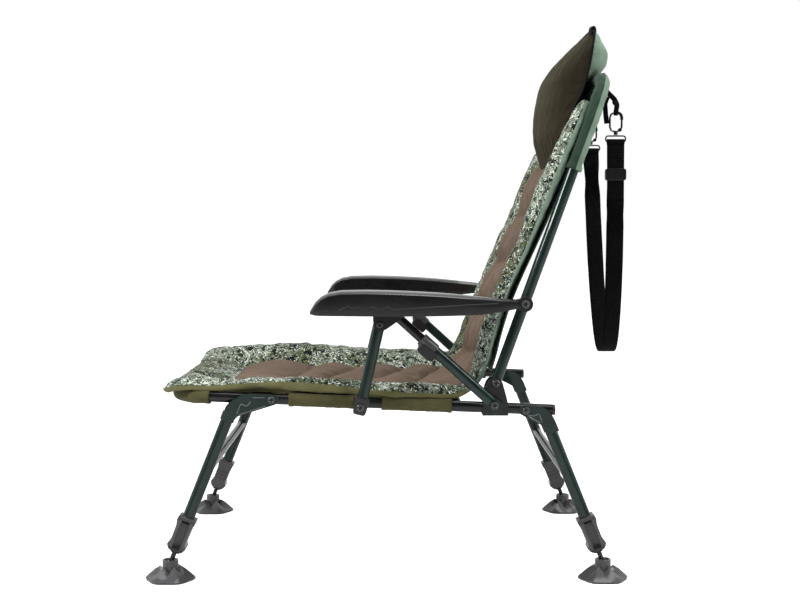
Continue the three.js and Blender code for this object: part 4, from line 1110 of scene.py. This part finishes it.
def pillow():
    base = SideLine([(276, 672), (284, 712), (302, 768), (319, 806), (329, 850), (337, 908)])
    front = through([
        (0, 0), (0.07, 10), (0.15, 17), (0.24, 24.5), (0.42, 39), (0.6, 47), (0.72, 42), (0.85, 24), (1, 0),
    ])
    bulge = through([
        (0, 0), (0.63, 0), (0.67, 9), (0.70, 22), (0.75, 31), (0.86, 32), (0.93, 27), (1, 18),
    ])
    columns, rows = 64, 46
    ease = [math.sin(math.pi / 2 * u) for u in np.linspace(-1, 1, columns + 1)]
    points, pinned = [], []

    def swell(x, power=3.4):
        return max(0, 1 - abs(x) ** power) ** 0.5

    # The lower corners are drawn up, and the far top corner leans down.
    def reach(x, v):
        low = 52 * abs(x) ** 2.4 + 4 * (1 - x * x)
        high = base.length - 18 * max(0, -x) ** 1.5 - 12 * x**4 - 5 * (1 - x * x)
        return low + (high - low) * v

    def rear(x, v):
        return bulge(reach(x, v) / base.length) * min(1, (1 - v) / 0.16) ** 0.6

    def point(x, v, out):
        across = x * PILLOW_HALF * (1 - 0.03 * math.sin(math.pi * v))
        return Vector((across, *base.at(reach(x, v), out)))

    heights = [j / rows for j in range(rows + 1)]
    for x in ease:
        flat = abs(x) > 0.999
        over = [point(x, v, front(v) * swell(x) + (0.7 if 0 < v < 1 else 0.3)) for v in heights]
        if flat:
            over = [point(x, v, 0.5) for v in heights]
        under = [point(x, v, -rear(x, v) * swell(x, 9) - 0.5) for v in heights[::-1]]
        points += over + under
    ring = 2 * (rows + 1)
    faces = bands(columns + 1, ring)
    zones = [0 if j < rows else 1 for _ in range(columns) for j in range(ring)]
    for base_row in (0, columns * ring):
        for j in range(rows):
            faces.append((base_row + j, base_row + j + 1, base_row + ring - 2 - j, base_row + ring - 1 - j))
            zones.append(0)
    for i in range(columns + 1):
        edge = i in (0, columns)
        for j in range(ring):
            if edge or j in (0, rows, rows + 1, ring - 1):
                pinned.append(i * ring + j)
            elif j > rows and heights[ring - 1 - j] < 0.62:
                pinned.append(i * ring + j)
    piece = build("pillow_cushion", points, faces, [PILLOW_CLOTH, MINT_CLOTH], zones)
    inflate(piece, pinned, PAD_SWELL, 0.02)
    wrinkle(piece, 2.4, 55, 12.0)
    subdivide(piece)
    wrinkle(piece, 0.7, 14, 15.0)
    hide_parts("pillow")
    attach(piece, "backrest")

    pillow_trim(point)


def pillow_trim(point):
    """The binding round the pillow's seam and a loop at each top corner."""
    seam = [point(x, 0, 0) for x in np.linspace(-1, 1, 70)]
    seam += [point(1, v, 0) for v in np.linspace(0, 1, 60)[1:-1]]
    seam += [point(x, 1, 0) for x in np.linspace(1, -1, 70)]
    seam += [point(-1, v, 0) for v in np.linspace(1, 0, 60)[1:-1]]
    count = len(seam)
    radii = [2.3 + 0.5 * noise.noise(Vector((i * 0.35, 0, 2.0))) for i in range(count)]
    wavy = [
        p + Vector((0, 0.8 * noise.noise(Vector((i * 0.2, 5.0, 0))), 0)) for i, p in enumerate(seam)
    ]
    sweep("pillow_binding", wavy, radii, PIPING, "backrest", sides=10, closed=True)
    for side, sign in (("left", 1), ("right", -1)):
        lower = 12 if sign > 0 else 29
        path = spaced([(sign * 174, y - lower * 0.3, z - lower) for y, z in CORNER_LOOP], 1.6)
        made = ribbon(
            f"corner_loop_{side}", path, lambda i: (1, 0.3, 0), 11, 2.6, PIPING, "backrest",
        )
        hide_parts(f"pillow_loop_{side}")


# Carry strap and its tabs

HOOK_MIDDLE = (378.4, 750)
STRAP_LOWEST = 348.5
STRAP_SCALE = 50.2
STRAP_HALF = 411
TAPE_GAP = 4.8


def hang(s, out=0.0):
    """The place on the strap at s from its lowest point. It hangs as a chain does."""
    z = STRAP_LOWEST + math.hypot(STRAP_SCALE, s) - STRAP_SCALE
    x = STRAP_SCALE * math.asinh(s / STRAP_SCALE)
    sway = HOOK_MIDDLE[0] + 9.3 * (1 - (z - STRAP_LOWEST) / 366)
    return (x + math.copysign(out, s), sway, z)


def strap_run():
    path = [hang(s) for s in np.linspace(-STRAP_HALF, STRAP_HALF, 170)]

    def widths(i):
        x, _, z = path[i]
        turn = 0.0
        if x < 0:
            turn = math.radians(46) * math.exp(-(((z - 660) / 34) ** 2))
        elif z < 640:
            turn = math.radians(30) * math.exp(-(((z - 596) / 24) ** 2))
        curl = 0.12 * math.sin(z / 37)
        return (math.sin(turn + curl), math.cos(turn + curl), 0)

    made = ribbon(
        "strap_run", path, widths, 29.4, 2.2, BLACK_WEBBING, "carry_strap",
    )
    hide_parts("strap_webbing")


def strap_end(side, sign, low):
    """The doubled end from low up, its fold round the eye's bar and its rows of stitches."""
    double = [hang(sign * s, 1.8) for s in np.linspace(low, STRAP_HALF, 40)]
    ribbon(
        f"strap_double_{side}", double, lambda i: (0, 1, 0), 28.8, 1.4, BLACK_WEBBING, "carry_strap",
    )
    bar = Vector((sign * STRAP_X, HOOK_MIDDLE[0], hang(STRAP_HALF)[2] + 4.4))
    across = [bar + Vector((0, d, 0)) for d in np.linspace(-14.6, 14.6, 12)]
    sleeve(
        f"strap_fold_{side}", across, (0, 0, 1), lambda i, share, angle: (4.9, 0), 3.0,
        [BLACK_WEBBING], "carry_strap", sides=20,
    )
    for k, s in enumerate((400, 396, 392)):
        place = Vector(hang(sign * s, 2.7))
        row = [place + Vector((0, d, 0)) for d in (-12, -4, 4, 12)]
        sweep(f"strap_stitch_{side}_{k}", row, 0.35, PIPING, "carry_strap", sides=6)


def hook_tape(side, sign):
    """The tape from the top tube round the hook's ring, its loose end and its knot."""
    top = HOOK_MIDDLE[1] + 16
    drop = [
        (BACK_TOP[0] + 11.4, BACK_TOP[1] - 7), (366, 797.5), (375.4, 789), (380.4, 779.4),
        (HOOK_MIDDLE[0], top + 1),
    ]
    out = [(sign * STRAP_X - TAPE_GAP, *p) for p in drop]
    back = [(sign * STRAP_X + TAPE_GAP, *p) for p in drop[::-1]]
    turn = []
    for k in range(1, 8):
        angle = math.pi * k / 8
        turn.append((
            sign * STRAP_X - TAPE_GAP * math.cos(angle), HOOK_MIDDLE[0], top - TAPE_GAP * math.sin(angle),
        ))
    path = softened(spaced([*out, *turn, *back], 2), 3)

    def flat(i):
        share = i / (len(path) - 1)
        end = 1 - smoothstep(min(share, 1 - share) / 0.3)
        return (0, 1 - 0.45 * end, 0.83 * end)

    tape = ribbon(f"hook_tape_{side}", path, flat, 7, 1.6, BLACK_WEBBING, "backrest")
    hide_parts(f"strap_tab_{side}")
    loose = spaced([
        (sign * (STRAP_X + 6), 363, 792), (sign * (STRAP_X + 8), 358.5, 780),
        (sign * (STRAP_X + 8), 360, 762), (sign * (STRAP_X + 7), 362, 747),
    ], 3)
    ribbon(
        f"loose_tape_{side}", loose, lambda i: (0.35, 1, 0.1), 8.5, 1.3, BLACK_WEBBING, "backrest",
    )
    knot = [(0, -5), (3.2, -4), (4.9, -1.6), (5.0, 1.6), (3.4, 4), (0, 5)]
    made = lathe(
        f"tape_knot_{side}", (sign * (STRAP_X + 2), 377, 783), (0, 0.5, -0.86), knot, PIPING, "backrest",
        sides=14,
    )
    wrinkle(made, 1.8, 4, 2.0 * sign)


def strap():
    strap_run()
    strap_end("left", 1, 318)
    strap_end("right", -1, 385)
    hook_tape("left", 1)
    hook_tape("right", -1)


# Rivets, pressed lines and other small hard details

def face_x(node, y, z, sign=1):
    """How far out, in millimetres, the outer face of a node is at a place in the side view."""
    hit, place, _, _ = nodes[node].ray_cast(Vector((sign * 0.5, y * MM, z * MM)), Vector((-sign, 0, 0)))
    return place.x / MM if hit else None


def rivet(name, place, x, radius, body, finish, sign):
    """A hollow rivet's rolled head, on a face at x."""
    bore, crown = radius * 0.42, radius * 0.34
    profile = [
        (0, -0.5), (bore, -0.5), (bore + 0.4, crown * 0.75), (radius * 0.72, crown),
        (radius * 0.93, crown * 0.7), (radius + 0.2, crown * 0.2), (radius + 0.2, -0.8), (0, -0.8),
    ]
    return lathe(name, (x, *place), (sign, 0, 0), profile, finish, body)


RIVETS = [
    ("front_leg_rivet", (-194, 295.2), "seat_frame_tube", 6.0, "seat_frame"),
    ("rear_leg_rivet", (216, 278), "seat_frame_tube", 6.0, "seat_frame"),
    ("strut_foot_rivet", (-50.5, 285.6), "seat_frame_tube", 6.2, "seat_frame"),
    ("hinge_rivet", BACK_PIVOT, "hinge_plate_{side}", 6.4, "seat_frame"),
    ("recline_foot_rivet", (164.1, 289), "hinge_plate_{side}", 6.2, "seat_frame"),
    ("strut_head_rivet", (-19.5, 418.8), "arm_bracket_{side}", 5.2, "arm_{side}"),
    ("recline_head_rivet", (1, 437.4), "arm_bracket_{side}", 5.2, "arm_{side}"),
    ("armrest_rivet", (213.3, 450.3), "back_frame_tube", 6.4, "backrest"),
]
# Lines pressed into the brackets' outer faces, in pale paint that is a painted highlight along their ridges
PRESSED = [
    ("front_leg_bracket_{side}", "front_legs", [
        [(-250.5, 271.5), (-244.6, 287), (-242.2, 289.6), (-237.5, 285.8), (-232.9, 285.8), (-229.6, 290.2),
         (-227, 293.1)],
        [(-247.5, 271.0), (-202.5, 286)],
        [(-225.7, 299.2), (-204.4, 299.2)],
    ]),
    ("rear_leg_bracket_{side}", "rear_legs", [
        [(217.7, 270.9), (225.7, 269), (233.0, 270.6), (236.9, 273.2)],
        [(219.3, 268.8), (240.5, 257.0)],
        [(237.5, 272), (242.2, 258.5)],
    ]),
]
ARMREST_WAVE = [
    (-84.9, 441.4), (-70.5, 450), (-61.5, 445.3), (-52.6, 449.3), (-43.5, 444.6), (-32.9, 449.2),
    (-20.4, 444.6), (-7.8, 448.4), (4.7, 443.8), (15.7, 445), (60, 447.5), (120, 450.5), (170, 452),
]


def line_on(node, places, name, radius, finish, body, sign, sunk):
    """A fine rib along places in the side view, on a node's outer face and sunk a little into it."""
    path, last = [], None
    for p in softened(spaced([(0, *p) for p in places], 1.5), 2):
        x = face_x(node, p.y, p.z, sign)
        if x is None or (last is not None and abs(x - last) > 4):
            continue
        last = x
        path.append(Vector((x - sign * sunk, p.y, p.z)))
    if len(path) < 4:
        return None
    radii = [radius * min(1, 0.35 + 0.3 * min(i, len(path) - 1 - i)) for i in range(len(path))]
    return sweep(name, path, radii, finish, body, sides=8)


def small_parts():
    for side, sign in (("left", 1), ("right", -1)):
        for name, place, node, radius, body in RIVETS:
            node, body = node.format(side=side), body.format(side=side)
            x = face_x(node, *place, sign)
            if x is not None:
                rivet(f"{name}_{side}", place, x, radius, body, RIVET_METAL, sign)
        for node, body, lines in PRESSED:
            node = node.format(side=side)
            # The ribs are drawn in pale paint: a painted highlight.
            made = [
                line_on(node, places, f"{node}_line_{k}", 1.15, HIGHLIGHT_PAINT, body, sign, 0.35)
                for k, places in enumerate(lines)
            ]
            made = [piece for piece in made if piece]
            if made:
                merge(f"{node}_pressed", *made)
        line_on(
            f"armrest_{side}", ARMREST_WAVE, f"armrest_wave_{side}", 0.9, BLACK_PLASTIC, f"arm_{side}",
            sign, 0.3,
        )


# The hard nodes keep their shape and get a finish and softened edges

HARD = {
    "green_paint": GREEN_PAINT, "black_metal": BLACK_METAL, "black_plastic": BLACK_PLASTIC,
    "grey_plastic": GREY_PLASTIC,
}


WELD_REACH = 0.00001
BEVEL_WIDTH = 0.0006
BEVEL_ANGLE = math.radians(38)


def hard_nodes():
    subparts = {s["node"]: s["material_slot"] for s in frame["record"]["subparts"]}
    for name, node in nodes.items():
        finish = FRAME_PAINT if name == "seat_frame_tube" else HARD.get(subparts[name])
        if finish is None or node.hide_render:
            continue
        node.data.materials.clear()
        node.data.materials.append(finish.material)
        if "custom_normal" in node.data.attributes:
            node.data.attributes.remove(node.data.attributes["custom_normal"])
        node.data.polygons.foreach_set("use_smooth", [True] * len(node.data.polygons))
        weld = node.modifiers.new("weld", "WELD")
        weld.merge_threshold = WELD_REACH
        bevel = node.modifiers.new("bevel", "BEVEL")
        bevel.width = BEVEL_WIDTH
        bevel.segments = 2
        bevel.limit_method = "ANGLE"
        bevel.angle_limit = BEVEL_ANGLE
        bevel.use_clamp_overlap = True
        node.modifiers.new("normals", "WEIGHTED_NORMAL")


studio()
mattress()
seat_cloth()
back_cloth()
pillow()
strap()
small_parts()
hard_nodes()
